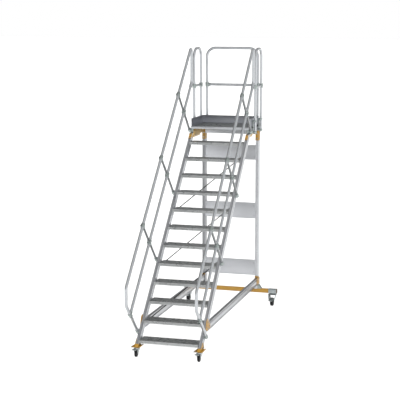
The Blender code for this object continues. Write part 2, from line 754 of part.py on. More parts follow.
def make_pedal(name, size, pivot):
    """Brake pedal: a barrel between the fork's ears and a dished plate in front."""
    tip = Vector(size["pedal_tip"]) - Vector(size["pivot"])
    reach = tip.length
    barrel_half = size["inside"] + size["flare"] * (size["pivot"][1] - size["radius"]) - 0.002
    ends = ((-barrel_half, 0, 0), (barrel_half, 0, 0))
    pedal = rod(name, *ends, PIVOT_R, zinc, pivot, sides=12)
    arm_half = barrel_half - 0.001
    half = size["pedal_half"]
    shoulder = -PEDAL_START - 0.006
    corner_x, corner_y = half - PEDAL_CORNER_R, PEDAL_CORNER_R - reach
    shape = [
        (arm_half, 0.001),
        (arm_half, -PEDAL_START),
        (half, shoulder),
        *arc((corner_x, corner_y), PEDAL_CORNER_R, 0, -90, 4),
        *arc((-corner_x, corner_y), PEDAL_CORNER_R, -90, -180, 4),
        (-half, shoulder),
        (-arm_half, -PEDAL_START),
        (-arm_half, 0.001),
    ]
    plate = outline(f"{name}_plate", [shape], PEDAL_THICKNESS, zinc)
    low, high = (-corner_x, -reach, -0.008), (corner_x, PEDAL_THICKNESS - reach, 0)
    lip = box(f"{name}_lip", low, high, zinc, pivot)
    droop = math.atan2(-tip.y, -tip.x)
    plate = as_mesh(plate)
    plate.parent = pivot
    for piece in (plate, lip):
        piece.data.transform(Matrix.Rotation(droop, 4, "X"))
    for piece in (pedal, plate, lip):
        piece.location = (0, *size["pivot"])
    return combine(pedal, "UNION", plate, lip)


def make_casters():
    for end, size in CASTERS.items():
        for side_name, side in SIDES.items():
            where = f"{end}_{side_name}"
            swivel = bpy.data.objects.new(f"caster_{where}_swivel", None)
            STAIRS.objects.link(swivel)
            swivel.parent = ORIGIN
            swivel.location = (side * size["x"], size["y"], 0)
            make_fork(f"caster_fork_{where}", size, swivel)
            make_wheel(f"caster_wheel_{where}", size, swivel)
            make_pedal(f"brake_pedal_{where}", size, swivel)


clear_scene()
STAIRS = new_collection("platform_stairs")
HELPERS = new_collection("helpers")
HELPERS.hide_render = True
ORIGIN = bpy.data.objects.new("stairs_origin", None)
STAIRS.objects.link(ORIGIN)
ORIGIN.location = (0, -MIDDLE_Y, 0)

satin_alu = metal("satin_aluminium", (0.66, 0.67, 0.69), 0.38)
tube_alu = metal("tube_aluminium", (0.70, 0.71, 0.72), 0.32)
ribbed_alu = metal("ribbed_aluminium", (0.33, 0.34, 0.35), 0.45)
dark_alu = metal("dark_aluminium", (0.24, 0.25, 0.27), 0.50)
clamp_grey = metal("clamp_grey", (0.38, 0.42, 0.41), 0.45)
ochre = metal("ochre_paint", (0.66, 0.38, 0.05), 0.42, 0.0)
zinc = metal("zinc_plate", (0.58, 0.61, 0.64), 0.35)
tyre = metal("black_tyre", (0.02, 0.02, 0.022), 0.60, 0.0)

make_stringers()
make_treads()
make_platform()
make_toe_boards()
make_handrails()
make_rail_arms()
make_guards()
make_rear_frame()
make_base_beams()
make_braces()
make_foot_brackets()
make_caster_sleeves()
make_casters()
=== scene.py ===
"""Looks of the mobile platform stairs: fine meshes, metals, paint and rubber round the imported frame.

Metres, +Z up, the climb goes along +Y. Places come from the frame's own boxes. `out` is
measured square to the flight, and `along` up the stringers' front edge.
"""

import json
import math

import bmesh
import bpy
from mathutils import Matrix, Vector


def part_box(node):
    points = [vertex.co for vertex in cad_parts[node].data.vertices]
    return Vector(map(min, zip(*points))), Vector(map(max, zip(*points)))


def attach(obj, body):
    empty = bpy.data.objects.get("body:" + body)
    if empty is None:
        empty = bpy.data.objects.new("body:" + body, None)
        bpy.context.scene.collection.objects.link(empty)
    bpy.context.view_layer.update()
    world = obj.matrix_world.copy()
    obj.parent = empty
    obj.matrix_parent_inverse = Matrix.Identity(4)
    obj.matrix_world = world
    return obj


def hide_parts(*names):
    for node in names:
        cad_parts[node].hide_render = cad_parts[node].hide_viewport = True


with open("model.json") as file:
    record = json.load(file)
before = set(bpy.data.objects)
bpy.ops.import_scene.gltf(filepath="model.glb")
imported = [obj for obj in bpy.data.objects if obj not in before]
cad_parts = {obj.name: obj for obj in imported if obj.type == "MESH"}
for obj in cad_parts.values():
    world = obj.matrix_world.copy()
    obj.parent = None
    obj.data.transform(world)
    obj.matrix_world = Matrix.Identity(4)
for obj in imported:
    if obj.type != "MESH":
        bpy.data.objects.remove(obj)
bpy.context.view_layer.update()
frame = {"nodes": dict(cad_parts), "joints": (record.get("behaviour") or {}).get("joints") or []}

SIDES = {"left": -1, "right": 1}
GAP = 0.0003
ROOT2 = math.sqrt(2)

# The flight, read from the frame
TREAD_LOW, TREAD_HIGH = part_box("tread_01")
STRINGER_LOW, STRINGER_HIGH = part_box("stringer_right")
DECK_LOW, DECK_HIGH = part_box("platform_deck")
PLATFORM_LOW, PLATFORM_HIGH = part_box("platform_frame")
RAIL_LOW, RAIL_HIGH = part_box("handrail_right")
POST_LOW, POST_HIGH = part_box("rear_post_right")
BEAM_LOW, BEAM_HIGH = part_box("base_beam_right")
NOSE_Y = TREAD_LOW.y
RISE = TREAD_HIGH.z
FRONT_Y = STRINGER_LOW.y - (STRINGER_LOW.z - RISE)
STRINGER_RUN = (STRINGER_HIGH.y - STRINGER_LOW.y) - (STRINGER_HIGH.z - STRINGER_LOW.z)
STRINGER_WIDTH = STRINGER_HIGH.x - STRINGER_LOW.x

# Tubes and clamps, as the CAD has them
RAIL_X = (RAIL_LOW.x + RAIL_HIGH.x) / 2
RAIL_R = 0.020
KNEE_R = 0.019
ARM_R = 0.016
ROD_R = 0.0065
CLAMP_R = 0.0275
COLLAR_HALF = 0.030
COLLAR_WALL = 0.005
TUBE_WALL = 0.002
FIT = 0.0001
HANDRAIL_HEIGHT = 1.0854
KNEE_HEIGHT = 0.5454
BOTTOM_ARM_ALONG = 0.135
ARMS_ALONG = (1.265, 2.397, 3.537)
HANDRAIL_BENDS = (0.040, 0.080, 0.080)
GUARD_KNEE_Z = 3.328
GUARD_BEND = 0.130
PLATE = 0.004

# Bolt heads: width across the head, its height, and its washer's thickness
FRAME_BOLT = (0.013, 0.0052, 0.0016)
STRAP_BOLT = (0.012, 0.005, 0.0016)
AXLE_NUT = (0.0125, 0.0036, 0.0010)
SADDLE_BOLT = (0.009, 0.003, 0.001)
SET_SCREW = (0.008, 0.003, 0.001)


def shift(x=0.0, y=0.0, z=0.0):
    return Matrix.Translation((x, y, z))


def spin(degrees, axis):
    return Matrix.Rotation(math.radians(degrees), 4, axis)


# Turns that lay a flat outline into the Y-Z plane (thickness along X) and into X-Z.
ACROSS_X = spin(90, "Z") @ spin(90, "X")
ALONG_Y = spin(90, "X")


# ---------------------------------------------------------------- flat outlines


def rectangle(low, high):
    return [(low[0], low[1]), (high[0], low[1]), (high[0], high[1]), (low[0], high[1])]


def arc(centre, radius, start, end, steps=6):
    """Points on a circle, with angles in degrees."""
    angles = [math.radians(start + (end - start) * n / steps) for n in range(steps + 1)]
    return [(centre[0] + radius * math.cos(a), centre[1] + radius * math.sin(a)) for a in angles]


def rounded(points, radius, steps=3):
    """A closed outline with every corner rounded, less where its edges are short."""
    points = [Vector(p) for p in points]
    made = []
    for before, corner, after in zip(points[-1:] + points[:-1], points, points[1:] + points[:1]):
        into, out = before - corner, after - corner
        half = into.angle(out) / 2
        if half > math.radians(88):
            made.append(tuple(corner))
            continue
        reach = min(radius / math.tan(half), 0.45 * into.length, 0.45 * out.length)
        size = reach * math.tan(half)
        into.normalize()
        out.normalize()
        centre = corner + (into + out).normalized() * size / math.sin(half)
        start, end = corner + into * reach - centre, corner + out * reach - centre
        turn = start.angle_signed(end)
        for n in range(steps + 1):
            a = -turn * n / steps
            x = start.x * math.cos(a) - start.y * math.sin(a)
            y = start.x * math.sin(a) + start.y * math.cos(a)
            made.append((centre.x + x, centre.y + y))
    return made


def grooved_edge(start, end, grooves):
    """The points from start up to end, cut by grooves (place, width, depth) on the left."""
    start, end = Vector(start), Vector(end)
    way = (end - start).normalized()
    left = Vector((-way.y, way.x))
    points = [tuple(start)]
    for place, width, depth in sorted(grooves):
        for offset, sink in ((-width / 2, 0), (-width / 2, depth), (width / 2, depth), (width / 2, 0)):
            points.append(tuple(start + way * (place + offset) + left * sink))
    return points


def section(width, height, grooves, corner=0.0018):
    """A rounded box section from the origin. grooves[n] cuts edge n: 0 low, 1 right, 2 high, 3 left."""
    corners = rectangle((0, 0), (width, height))
    points = []
    for edge, (start, end) in enumerate(zip(corners, corners[1:] + corners[:1])):
        points += grooved_edge(start, end, grooves.get(edge, ()))
    return rounded(points, corner)


def hollow(width, height, side, low, high, corner=0.002):
    """The outline of a box section's hollow, inside walls at both sides, low and high."""
    return rounded(rectangle((side, low), (width - side, height - high)), corner)


def plank(depth, height, ribs, webs):
    """A ribbed plank seen from its end: nose at the origin, open underneath."""
    skin, lip, margin, rib = 0.0028, 0.016, 0.014, 0.0022
    pitch = (depth - 2 * margin) / ribs
    tops = [(margin + (n + 0.5) * pitch, pitch * 0.46, rib) for n in range(ribs)]
    noses = [(z, 0.0030, 0.0012) for z in (0.009, 0.015, 0.021)]
    points = grooved_edge((depth, 0), (0, 0), tops)
    points += grooved_edge((0, 0), (0, -height), noses)
    points += [(0, -height), (lip, -height), (lip, skin - height), (skin, skin - height)]
    roof = -rib - skin
    points.append((skin, roof))
    foot = 0.007 - height
    for n in range(1, webs + 1):
        y = depth * n / (webs + 1)
        points += [(y - skin / 2, roof), (y - skin / 2, foot), (y + skin / 2, foot), (y + skin / 2, roof)]
    points += [(depth - skin, roof), (depth - skin, skin - height)]
    points += [(depth - lip, skin - height), (depth - lip, -height), (depth, -height)]
    return rounded(points, 0.0007, steps=2)


# ---------------------------------------------------------------- meshes


def transformed(bm, matrix):
    bmesh.ops.transform(bm, matrix=matrix, verts=bm.verts)
    return bm


def extruded(loops, thickness, bevel=0.0, place=None):
    """A flat outline with holes, extruded evenly about its own plane, as one closed mesh."""
    curve = bpy.data.curves.new("outline", "CURVE")
    curve.dimensions = "2D"
    curve.fill_mode = "BOTH"
    curve.extrude = thickness / 2 - bevel
    curve.bevel_depth = bevel
    curve.bevel_resolution = 1
    curve.offset = -bevel
    for loop in loops:
        spline = curve.splines.new("POLY")
        spline.points.add(len(loop) - 1)
        spline.use_cyclic_u = True
        for point, (u, v) in zip(spline.points, loop):
            point.co = (u, v, 0, 1)
    obj = bpy.data.objects.new("outline", curve)
    bpy.context.scene.collection.objects.link(obj)
    graph = bpy.context.evaluated_depsgraph_get()
    mesh = bpy.data.meshes.new_from_object(obj.evaluated_get(graph))
    bpy.data.objects.remove(obj)
    bpy.data.curves.remove(curve)
    bm = bmesh.new()
    bm.from_mesh(mesh)
    bpy.data.meshes.remove(mesh)
    bmesh.ops.remove_doubles(bm, verts=bm.verts, dist=0.000005)
    bmesh.ops.recalc_face_normals(bm, faces=bm.faces)
    return transformed(bm, place) if place else bm


def in_yz(loops, thickness, place=(0, 0, 0), bevel=0.0):
    """An outline in the Y-Z plane with its thickness along X."""
    return extruded(loops, thickness, bevel, shift(*place) @ ACROSS_X)


def in_xz(loops, thickness, place=(0, 0, 0), bevel=0.0):
    """An outline in the X-Z plane with its thickness along Y."""
    return extruded(loops, thickness, bevel, shift(*place) @ ALONG_Y)


def block(low, high, bevel=0.0015, segments=2):
    """A box with rounded edges."""
    bm = bmesh.new()
    bmesh.ops.create_cube(bm, size=1.0)
    size = [b - a for a, b in zip(low, high)]
    middle = [(a + b) / 2 for a, b in zip(low, high)]
    bmesh.ops.transform(bm, matrix=Matrix.LocRotScale(middle, None, size), verts=bm.verts)
    bmesh.ops.bevel(bm, geom=bm.edges[:], offset=bevel, segments=segments, profile=0.5, affect="EDGES")
    return bm


def side_block(side, near, far, y_span, z_span, bevel):
    """A box between two distances from the middle plane, on one side."""
    x_low, x_high = sorted((side * near, side * far))
    return block((x_low, y_span[0], z_span[0]), (x_high, y_span[1], z_span[1]), bevel)


def aim(place, direction):
    """A matrix that stands a piece made along +Z at a place, along a direction."""
    return Matrix.Translation(place) @ Vector(direction).to_track_quat("Z", "Y").to_matrix().to_4x4()


def bridge(bm, low, high):
    """Faces between two rings of points. A ring of one point is a tip."""
    count = max(len(low), len(high))
    for n in range(count):
        m = (n + 1) % count
        if len(low) == 1:
            bm.faces.new((low[0], high[n], high[m]))
        elif len(high) == 1:
            bm.faces.new((low[n], low[m], high[0]))
        else:
            bm.faces.new((low[n], low[m], high[m], high[n]))


def turned(profile, sides=32, closed=False, place=None):
    """A profile of (radius, height) turned about +Z. It ends on the axis, or closes on itself."""
    bm = bmesh.new()
    rings = []
    angles = [2 * math.pi * n / sides for n in range(sides)]
    for radius, height in profile:
        spots = [(radius * math.cos(a), radius * math.sin(a), height) for a in angles]
        if radius < 1e-7:
            spots = [(0, 0, height)]
        rings.append([bm.verts.new(spot) for spot in spots])
    for low, high in zip(rings, rings[1:]):
        bridge(bm, low, high)
    if closed:
        bridge(bm, rings[-1], rings[0])
    bmesh.ops.recalc_face_normals(bm, faces=bm.faces)
    return transformed(bm, place) if place else bm


def bar(start, end, radius, sides=24, chamfer=0.0008):
    """A round bar with chamfered ends."""
    start, end = Vector(start), Vector(end)
    length = (end - start).length
    profile = [(0, 0), (radius - chamfer, 0), (radius, chamfer)]
    profile += [(radius, length - chamfer), (radius - chamfer, length), (0, length)]
    return turned(profile, sides, place=aim(start, end - start))


def upright(low, high, radius, sides=32):
    """A bar about the Z axis, mostly to cut a bore."""
    return bar((0, 0, low), (0, 0, high), radius, sides)


def sleeve(start, end, outer, inner, sides=36, lip=0.0014):
    """A hollow collar with rounded ends."""
    start, end = Vector(start), Vector(end)
    length = (end - start).length
    profile = [(inner, 0), (outer - lip, 0), (outer - 0.3 * lip, 0.3 * lip), (outer, lip)]
    profile += [(outer, length - lip), (outer - 0.3 * lip, length - 0.3 * lip)]
    profile += [(outer - lip, length), (inner, length)]
    return turned(profile, sides, True, aim(start, end - start))


def bent(corners, radii, step=7.5):
    """A route through corner points, each corner rounded to its bend radius."""
    corners = [Vector(corner) for corner in corners]
    points = [corners[0]]
    for before, corner, after, radius in zip(corners, corners[1:], corners[2:], radii):
        into, out = (before - corner).normalized(), (after - corner).normalized()
        half = into.angle(out) / 2
        centre = corner + (into + out).normalized() * radius / math.sin(half)
        start = corner + into * radius / math.tan(half) - centre
        end = corner + out * radius / math.tan(half) - centre
        turn = start.angle(end)
        steps = max(3, round(math.degrees(turn) / step))
        axis = start.cross(end)
        for n in range(steps + 1):
            points.append(centre + Matrix.Rotation(turn * n / steps, 3, axis) @ start)
    points.append(corners[-1])
    return points


def tube(route, radius, wall=TUBE_WALL, sides=28):
    """An open-ended round tube along a flat route."""
    route = [Vector(p) for p in route]
    steps = [(b - a).normalized() for a, b in zip(route, route[1:])]
    normal = next((a.cross(b) for a, b in zip(steps, steps[1:]) if a.cross(b).length > 1e-5), None)
    if normal is None:
        normal = steps[0].orthogonal()
    normal.normalize()
    bm = bmesh.new()
    skins = []
    for size in (radius, radius - wall):
        rings = []
        for n, place in enumerate(route):
            way = (steps[max(n - 1, 0)] + steps[min(n, len(steps) - 1)]).normalized()
            side = normal.cross(way).normalized()
            ring = []
            for k in range(sides):
                a = 2 * math.pi * k / sides
                ring.append(bm.verts.new(place + size * (math.cos(a) * side + math.sin(a) * normal)))
            rings.append(ring)
        for low, high in zip(rings, rings[1:]):
            bridge(bm, low, high)
        skins.append(rings)
    for end in (0, -1):
        bridge(bm, skins[0][end], skins[1][end])
    bmesh.ops.recalc_face_normals(bm, faces=bm.faces)
    return bm


def joined(*meshes):
    """Several closed bodies in one mesh, side by side."""
    first = meshes[0]
    for other in meshes[1:]:
        mesh = bpy.data.meshes.new("part")
        other.to_mesh(mesh)
        other.free()
        first.from_mesh(mesh)
        bpy.data.meshes.remove(mesh)
    return first


def united(*meshes, cut=()):
    """The union of several closed bodies, less the ones to cut, as one closed body."""
    made = []
    for bm in (*meshes, *cut):
        mesh = bpy.data.meshes.new("operand")
        bm.to_mesh(mesh)
        bm.free()
        obj = bpy.data.objects.new("operand", mesh)
        bpy.context.scene.collection.objects.link(obj)
        made.append(obj)
    target = made[0]
    for n, other in enumerate(made[1:], 1):
        step = target.modifiers.new("step", "BOOLEAN")
        step.operation = "UNION" if n < len(meshes) else "DIFFERENCE"
        step.object = other
    graph = bpy.context.evaluated_depsgraph_get()
    mesh = bpy.data.meshes.new_from_object(target.evaluated_get(graph))
    bm = bmesh.new()
    bm.from_mesh(mesh)
    bpy.data.meshes.remove(mesh)
    for obj in made:
        old = obj.data
        bpy.data.objects.remove(obj)
        bpy.data.meshes.remove(old)
    return bm


def hex_bolt(place, direction, across, head, washer):
    """A washer and a chamfered hexagon head standing on a face."""
    r = across / ROOT2 * 0.8165
    top = washer + head
    face = [(0, washer), (r, washer), (r, washer + 0.8 * head), (0.88 * r, top), (0, top)]
    ring = [(0, 0), (0.85 * across, 0), (0.85 * across, 0.8 * washer), (0.8 * across, washer), (0, washer)]
    return transformed(joined(turned(ring, 24), turned(face, 6)), aim(place, direction))


def piece(name, bm, material, body="frame", instead_of=(), sharp=32):
    """A finished piece of the object, riding on its body."""
    mesh = bpy.data.meshes.new(name)
    bm.to_mesh(mesh)
    bm.free()
    mesh.shade_smooth()
    mesh.set_sharp_from_angle(angle=math.radians(sharp))
    mesh.materials.append(material)
    obj = bpy.data.objects.new(name, mesh)
    bpy.context.scene.collection.objects.link(obj)
    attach(obj, body)
    if instead_of:
        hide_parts(*instead_of)


def stand_in(node, suffix, bm, material, body="frame"):
    """The piece that takes a CAD node's place."""
    piece(f"{node}_{suffix}", bm, material, body, [node])


def bolts(name, kind, spots, place=None, body="frame"):
    """Bolt heads as one piece. Each spot is (point, direction) in the place's own axes."""
    heads = joined(*(hex_bolt(point, way, *kind) for point, way in spots))
    piece(name, transformed(heads, place or Matrix()), bolt_steel, body)


def rivets(name, profile, spots, direction):
    """Round screw heads as one piece."""
    heads = [turned(profile, 16, place=aim(spot, direction)) for spot in spots]
    piece(name, joined(*heads), bolt_steel)


# ---------------------------------------------------------------- materials


class Finish:
    """A Principled material whose colour, roughness and bump come from procedural noise."""

    def __init__(self, name, slot, colour, roughness, metallic=1.0, coat=0.0):
        self.material = bpy.data.materials.new(name)
        self.material["slot"] = slot
        self.material.use_nodes = True
        self.tree = self.material.node_tree
        self.shader = self.tree.nodes["Principled BSDF"]
        self.shader.inputs["Metallic"].default_value = metallic
        self.shader.inputs["Coat Weight"].default_value = coat
        self.shader.inputs["Coat Roughness"].default_value = 0.22
        self.colour = colour
        self.roughness = roughness
        self.coords = self.node("TexCoord").outputs["Object"]

    def node(self, kind, **values):
        """A new shader node with some of its inputs set."""
        made = self.tree.nodes.new("ShaderNode" + kind)
        for socket, value in values.items():
            made.inputs[socket.replace("_", " ")].default_value = value
        return made

    def link(self, output, socket):
        self.tree.links.new(output, socket)

    def noise(self, scale, detail=3.0, stretch=(1, 1, 1), turn=(0, 0, 0)):
        """Noise with features 1/scale metres across, stretched along chosen axes."""
        mapping = self.node("Mapping", Rotation=turn, Scale=stretch)
        self.link(self.coords, mapping.inputs["Vector"])
        made = self.node("TexNoise", Scale=scale, Detail=detail)
        self.link(mapping.outputs["Vector"], made.inputs["Vector"])
        return made.outputs["Fac"]

    def ramp(self, factor, stops):
        made = self.node("ValToRGB")
        elements = made.color_ramp.elements
        for n, (place, colour) in enumerate(stops):
            element = elements[n] if n < 2 else elements.new(place)
            element.position = place
            element.color = (*colour, 1.0)
        self.link(factor, made.inputs["Fac"])
        return made.outputs["Color"]

    def shades(self, factor, amount, places=(0.3, 0.5, 0.7)):
        """The colour with lighter and darker shades of itself, spread by a noise."""
        tones = [tuple(c * (1 + k * amount) for c in self.colour) for k in (-1, 0, 1)]
        return self.ramp(factor, list(zip(places, tones)))

    def dust(self, factor, places, level):
        """A mask that grows from nothing to a level where a noise is high."""
        return self.ramp(factor, [(places[0], (0.0,) * 3), (places[1], (level,) * 3)])

    def paint(self, output):
        self.link(output, self.shader.inputs["Base Color"])

    def mix(self, factor, low, high):
        """Blends two colours or outputs by a factor."""
        made = self.node("Mix")
        made.data_type = "RGBA"
        self.link(factor, made.inputs["Factor"])
        for socket, value in ((made.inputs[6], low), (made.inputs[7], high)):
            if isinstance(value, tuple):
                socket.default_value = (*value, 1.0)
            else:
                self.link(value, socket)
        return made.outputs[2]

    def gloss(self, factor, spread):
        """Roughness that wanders about its middle value with a noise."""
        ends = {"To_Min": self.roughness - spread, "To_Max": self.roughness + spread}
        made = self.node("MapRange", From_Min=0.3, From_Max=0.7, **ends)
        self.link(factor, made.inputs["Value"])
        self.link(made.outputs["Result"], self.shader.inputs["Roughness"])

    def bump(self, height, distance, strength=0.35):
        made = self.node("Bump", Strength=strength, Distance=distance)
        self.link(height, made.inputs["Height"])
        self.link(made.outputs["Normal"], self.shader.inputs["Normal"])


def aluminium(name, slot, colour, roughness, grain=(1, 1, 1), turn=(0, 0, 0), cloud=0.07, metallic=1.0):
    """Mill-finished aluminium: fine die lines along the profile over slow, cloudy shading."""
    made = Finish(name, slot, colour, roughness, metallic)
    tone = made.shades(made.noise(3.5, 4.0), cloud)
    lines = made.noise(420, 2.0, grain, turn)
    made.paint(made.mix(lines, tone, tuple(c * 1.05 for c in colour)))
    made.gloss(lines, 0.07)
    made.bump(lines, 0.00012)
    return made.material


def worn_aluminium(name, slot, colour, roughness):
    """Ribbed tread metal: darker in the grooves, rubbed bright in patches where feet fall."""
    made = Finish(name, slot, colour, roughness)
    scuffs = made.noise(16, 5.0, (1, 2.2, 1))
    tone = made.shades(scuffs, 0.16, (0.32, 0.52, 0.74))
    lines = made.noise(500, 2.0, (0.03, 1, 1))
    made.paint(made.mix(lines, tone, tuple(c * 0.92 for c in colour)))
    made.gloss(scuffs, 0.08)
    made.bump(lines, 0.00015)
    return made.material


def powder_coat(name, slot, colour, roughness):
    """Powder coat: orange-peel surface with slight fading and dusty patches."""
    made = Finish(name, slot, colour, roughness, metallic=0.0, coat=0.08)
    fade = made.noise(9, 4.0)
    tone = made.shades(fade, 0.09, (0.3, 0.5, 0.72))
    dust = made.dust(made.noise(38, 6.0), (0.62, 0.78), 0.35)
    made.paint(made.mix(dust, tone, tuple(0.7 * c + 0.06 for c in colour)))
    made.gloss(fade, 0.06)
    made.bump(made.noise(750, 2.0), 0.00025, 0.3)
    return made.material


def zinc_plating(name, slot, colour, roughness):
    """Bright zinc: cool grey with faint yellow and blue clouds and a fine spangle."""
    made = Finish(name, slot, colour, roughness)
    red, green, blue = colour
    bluish, yellowish = (red * 0.88, green * 0.92, blue), (red, green * 0.98, blue * 0.88)
    clouds = made.ramp(made.noise(55, 4.0), ((0.35, bluish), (0.5, colour), (0.68, yellowish)))
    spangle = made.noise(600, 3.0)
    made.paint(made.mix(spangle, clouds, tuple(c * 1.06 for c in colour)))
    made.gloss(spangle, 0.08)
    made.bump(spangle, 0.0001, 0.25)
    return made.material


def cast_metal(name, slot, colour, roughness):
    """Cast aluminium clamp: a fine pebbled skin with darker hollows."""
    made = Finish(name, slot, colour, roughness)
    made.paint(made.shades(made.noise(60, 5.0), 0.12))
    pebbles = made.noise(900, 3.0)
    made.gloss(pebbles, 0.06)
    made.bump(pebbles, 0.0003, 0.4)
    return made.material


def rubber(name, slot, colour, roughness):
    """Tyre and cap rubber: matt, speckled, with dusty scuffs."""
    made = Finish(name, slot, colour, roughness, metallic=0.0)
    made.shader.inputs["Specular IOR Level"].default_value = 0.2
    scuffs = made.noise(70, 6.0)
    dust = made.dust(scuffs, (0.55, 0.75), 0.45)
    made.paint(made.mix(dust, colour, tuple(c + 0.03 for c in colour)))
    made.gloss(scuffs, 0.08)
    made.bump(made.noise(1100, 2.0), 0.0002, 0.4)
    return made.material


FLIGHT_TURN = (math.pi / 4, 0, 0)
GRAIN_X, GRAIN_Y, GRAIN_Z = (0.02, 1, 1), (1, 0.02, 1), (1, 1, 0.02)
SATIN = (0.50, 0.51, 0.53)
# Darker copy of the post aluminium: painted shade for the left post, which stands in the shade of the flight
# and platform.
POST_PAINTED_SHADE = (0.26, 0.265, 0.275)
stringer_alu = aluminium("stringer_aluminium", "satin_aluminium", SATIN, 0.20, GRAIN_Z, FLIGHT_TURN)
post_alu = aluminium("post_aluminium", "satin_aluminium", SATIN, 0.26, GRAIN_Z)
painted_shade_alu = aluminium("post_aluminium_painted_shade", "satin_aluminium", POST_PAINTED_SHADE, 0.30, GRAIN_Z)
beam_alu = aluminium("beam_aluminium", "satin_aluminium", (0.41, 0.42, 0.435), 0.30, GRAIN_Y)
panel_alu = aluminium("panel_aluminium", "satin_aluminium", SATIN, 0.36, GRAIN_X, cloud=0.10)
tube_alu = aluminium("tube_aluminium", "tube_aluminium", (0.42, 0.435, 0.45), 0.14, cloud=0.04, metallic=0.8)
arm_alu = aluminium("arm_aluminium", "clamp_grey", (0.22, 0.23, 0.235), 0.26, cloud=0.04, metallic=0.7)
rod_steel = aluminium("rod_steel", "satin_aluminium", (0.03, 0.03, 0.03), 0.40, cloud=0.08)
ribbed_alu = worn_aluminium("ribbed_aluminium", "ribbed_aluminium", (0.40, 0.41, 0.41), 0.30)
deck_alu = worn_aluminium("deck_aluminium", "ribbed_aluminium", (0.27, 0.28, 0.28), 0.30)
toe_alu = aluminium("toe_board_aluminium", "dark_aluminium", (0.36, 0.37, 0.40), 0.36, (1, 0.03, 1))
clamp_cast = cast_metal("clamp_casting", "clamp_grey", (0.36, 0.40, 0.39), 0.38)
ochre = powder_coat("ochre_paint", "ochre_paint", (0.29, 0.155, 0.016), 0.42)
# Paler ochre: painted sheen, standing in for the glossy coat's reflection of the pale room, used on the top
# brackets.
ochre_painted_sheen = powder_coat("ochre_paint_painted_sheen", "ochre_paint", (0.46, 0.30, 0.10), 0.42)
zinc = zinc_plating("zinc_plate", "zinc_plate", (0.33, 0.36, 0.365), 0.30)
bolt_steel = zinc_plating("bolt_steel", "zinc_plate", (0.30, 0.31, 0.32), 0.34)
tyre = rubber("black_tyre", "black_tyre", (0.008, 0.008, 0.009), 0.62)
cap_black = rubber("black_cap", "black_tyre", (0.030, 0.031, 0.033), 0.50)
hub_grey = rubber("hub_grey", "black_tyre", (0.022, 0.023, 0.025), 0.50)


# ---------------------------------------------------------------- the flight


def flight_point(along, out):
    """(y, z) of a point `along` the stringers' front edge and `out` square to it."""
    return FRONT_Y + (along - out) / ROOT2, RISE + (along + out) / ROOT2


def rail_z(height, y):
    return RISE + height + y - FRONT_Y


def make_stringers():
    """Slotted box profiles, made level and then slid along the slope layer by layer."""
    deep = STRINGER_RUN / ROOT2
    slots = [(k * deep, 0.010, 0.0035) for k in (0.34, 0.66)]
    outer = section(STRINGER_WIDTH, deep, {0: [(STRINGER_WIDTH / 2, 0.014, 0.0030)], 1: slots, 3: slots})
    core = hollow(STRINGER_WIDTH, deep, 0.0065, 0.0065, 0.0065)
    loops = [[(x, n * ROOT2) for x, n in loop] for loop in (outer, core)]
    for side_name in SIDES:
        low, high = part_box(f"stringer_{side_name}")
        bm = extruded(loops, high.z - low.z)
        for vertex in bm.verts:
            vertex.co += Vector((low.x, 0, (low.z + high.z) / 2))
            vertex.co.y += FRONT_Y + vertex.co.z - RISE
        stand_in(f"stringer_{side_name}", "profile", bm, stringer_alu)


def make_treads():
    """Ribbed planks with a thin plate at each end."""
    size = TREAD_HIGH - TREAD_LOW
    plate = 0.003
    tread = extruded([plank(size.y, size.z, 22, 2)], size.x - 2 * plate)
    ear = rounded(rectangle((0, 0), (size.y, -size.z)), 0.003)
    number = 1
    while f"tread_{number:02d}" in frame["nodes"]:
        name = f"tread_{number:02d}"
        low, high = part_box(name)
        stand_in(name, "ribbed", transformed(tread.copy(), shift(0, low.y, high.z) @ ACROSS_X), ribbed_alu)
        for side_name, side in SIDES.items():
            place = (side * (size.x - plate) / 2, low.y, high.z)
            piece(f"{name}_end_{side_name}", in_yz([ear], plate - 0.0002, place, 0.0005), ribbed_alu)
        number += 1
    tread.free()


def make_braces():
    """Tie rods from stringer to stringer, their lock nuts, and the tabs that hold their ends."""
    run = 0.735
    tab_reach = 0.0175
    inset_x = 0.004
    nut_near, nut_far = 0.020, 0.034
    drop = (0.275 - STRINGER_RUN - (FRONT_Y - NOSE_Y)) / ROOT2
    outline = rounded(rectangle((-0.015, -0.012), (0.015, drop - GAP)), 0.004)
    hole = arc((0, 0), 0.0062, 360, 15, 18)
    for number in (1, 2, 3):
        node = f"diagonal_brace_{number}"
        low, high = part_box(node)
        # The lowest rod starts without a tab, so it reaches its box's corner itself.
        tabbed = number > 1
        edge = tab_reach if tabbed else ROD_R
        start = Vector((-high.x + inset_x * tabbed, low.y + edge, low.z + edge))
        end = start + Vector((0, run, run))
        end.x = high.x - inset_x
        way = (end - start).normalized()
        nuts = []
        for tip, inward in ((start, way), (end, -way)):
            nuts.append(sleeve(tip + inward * nut_near, tip + inward * nut_far, 0.011, ROD_R, 6, 0.0008))
        stand_in(node, "rod", bar(start, end, ROD_R, 20), rod_steel)
        piece(f"{node}_lock_nuts", joined(*nuts), bolt_steel)
        ends = (("low", start), ("high", end)) if tabbed else (("high", end),)
        for label, place in ends:
            turn = Matrix.Translation(place) @ spin(45, "X") @ ACROSS_X
            piece(f"{node}_tab_{label}", extruded([outline, hole], 0.004, 0.0005, turn), zinc)


# ---------------------------------------------------------------- platform


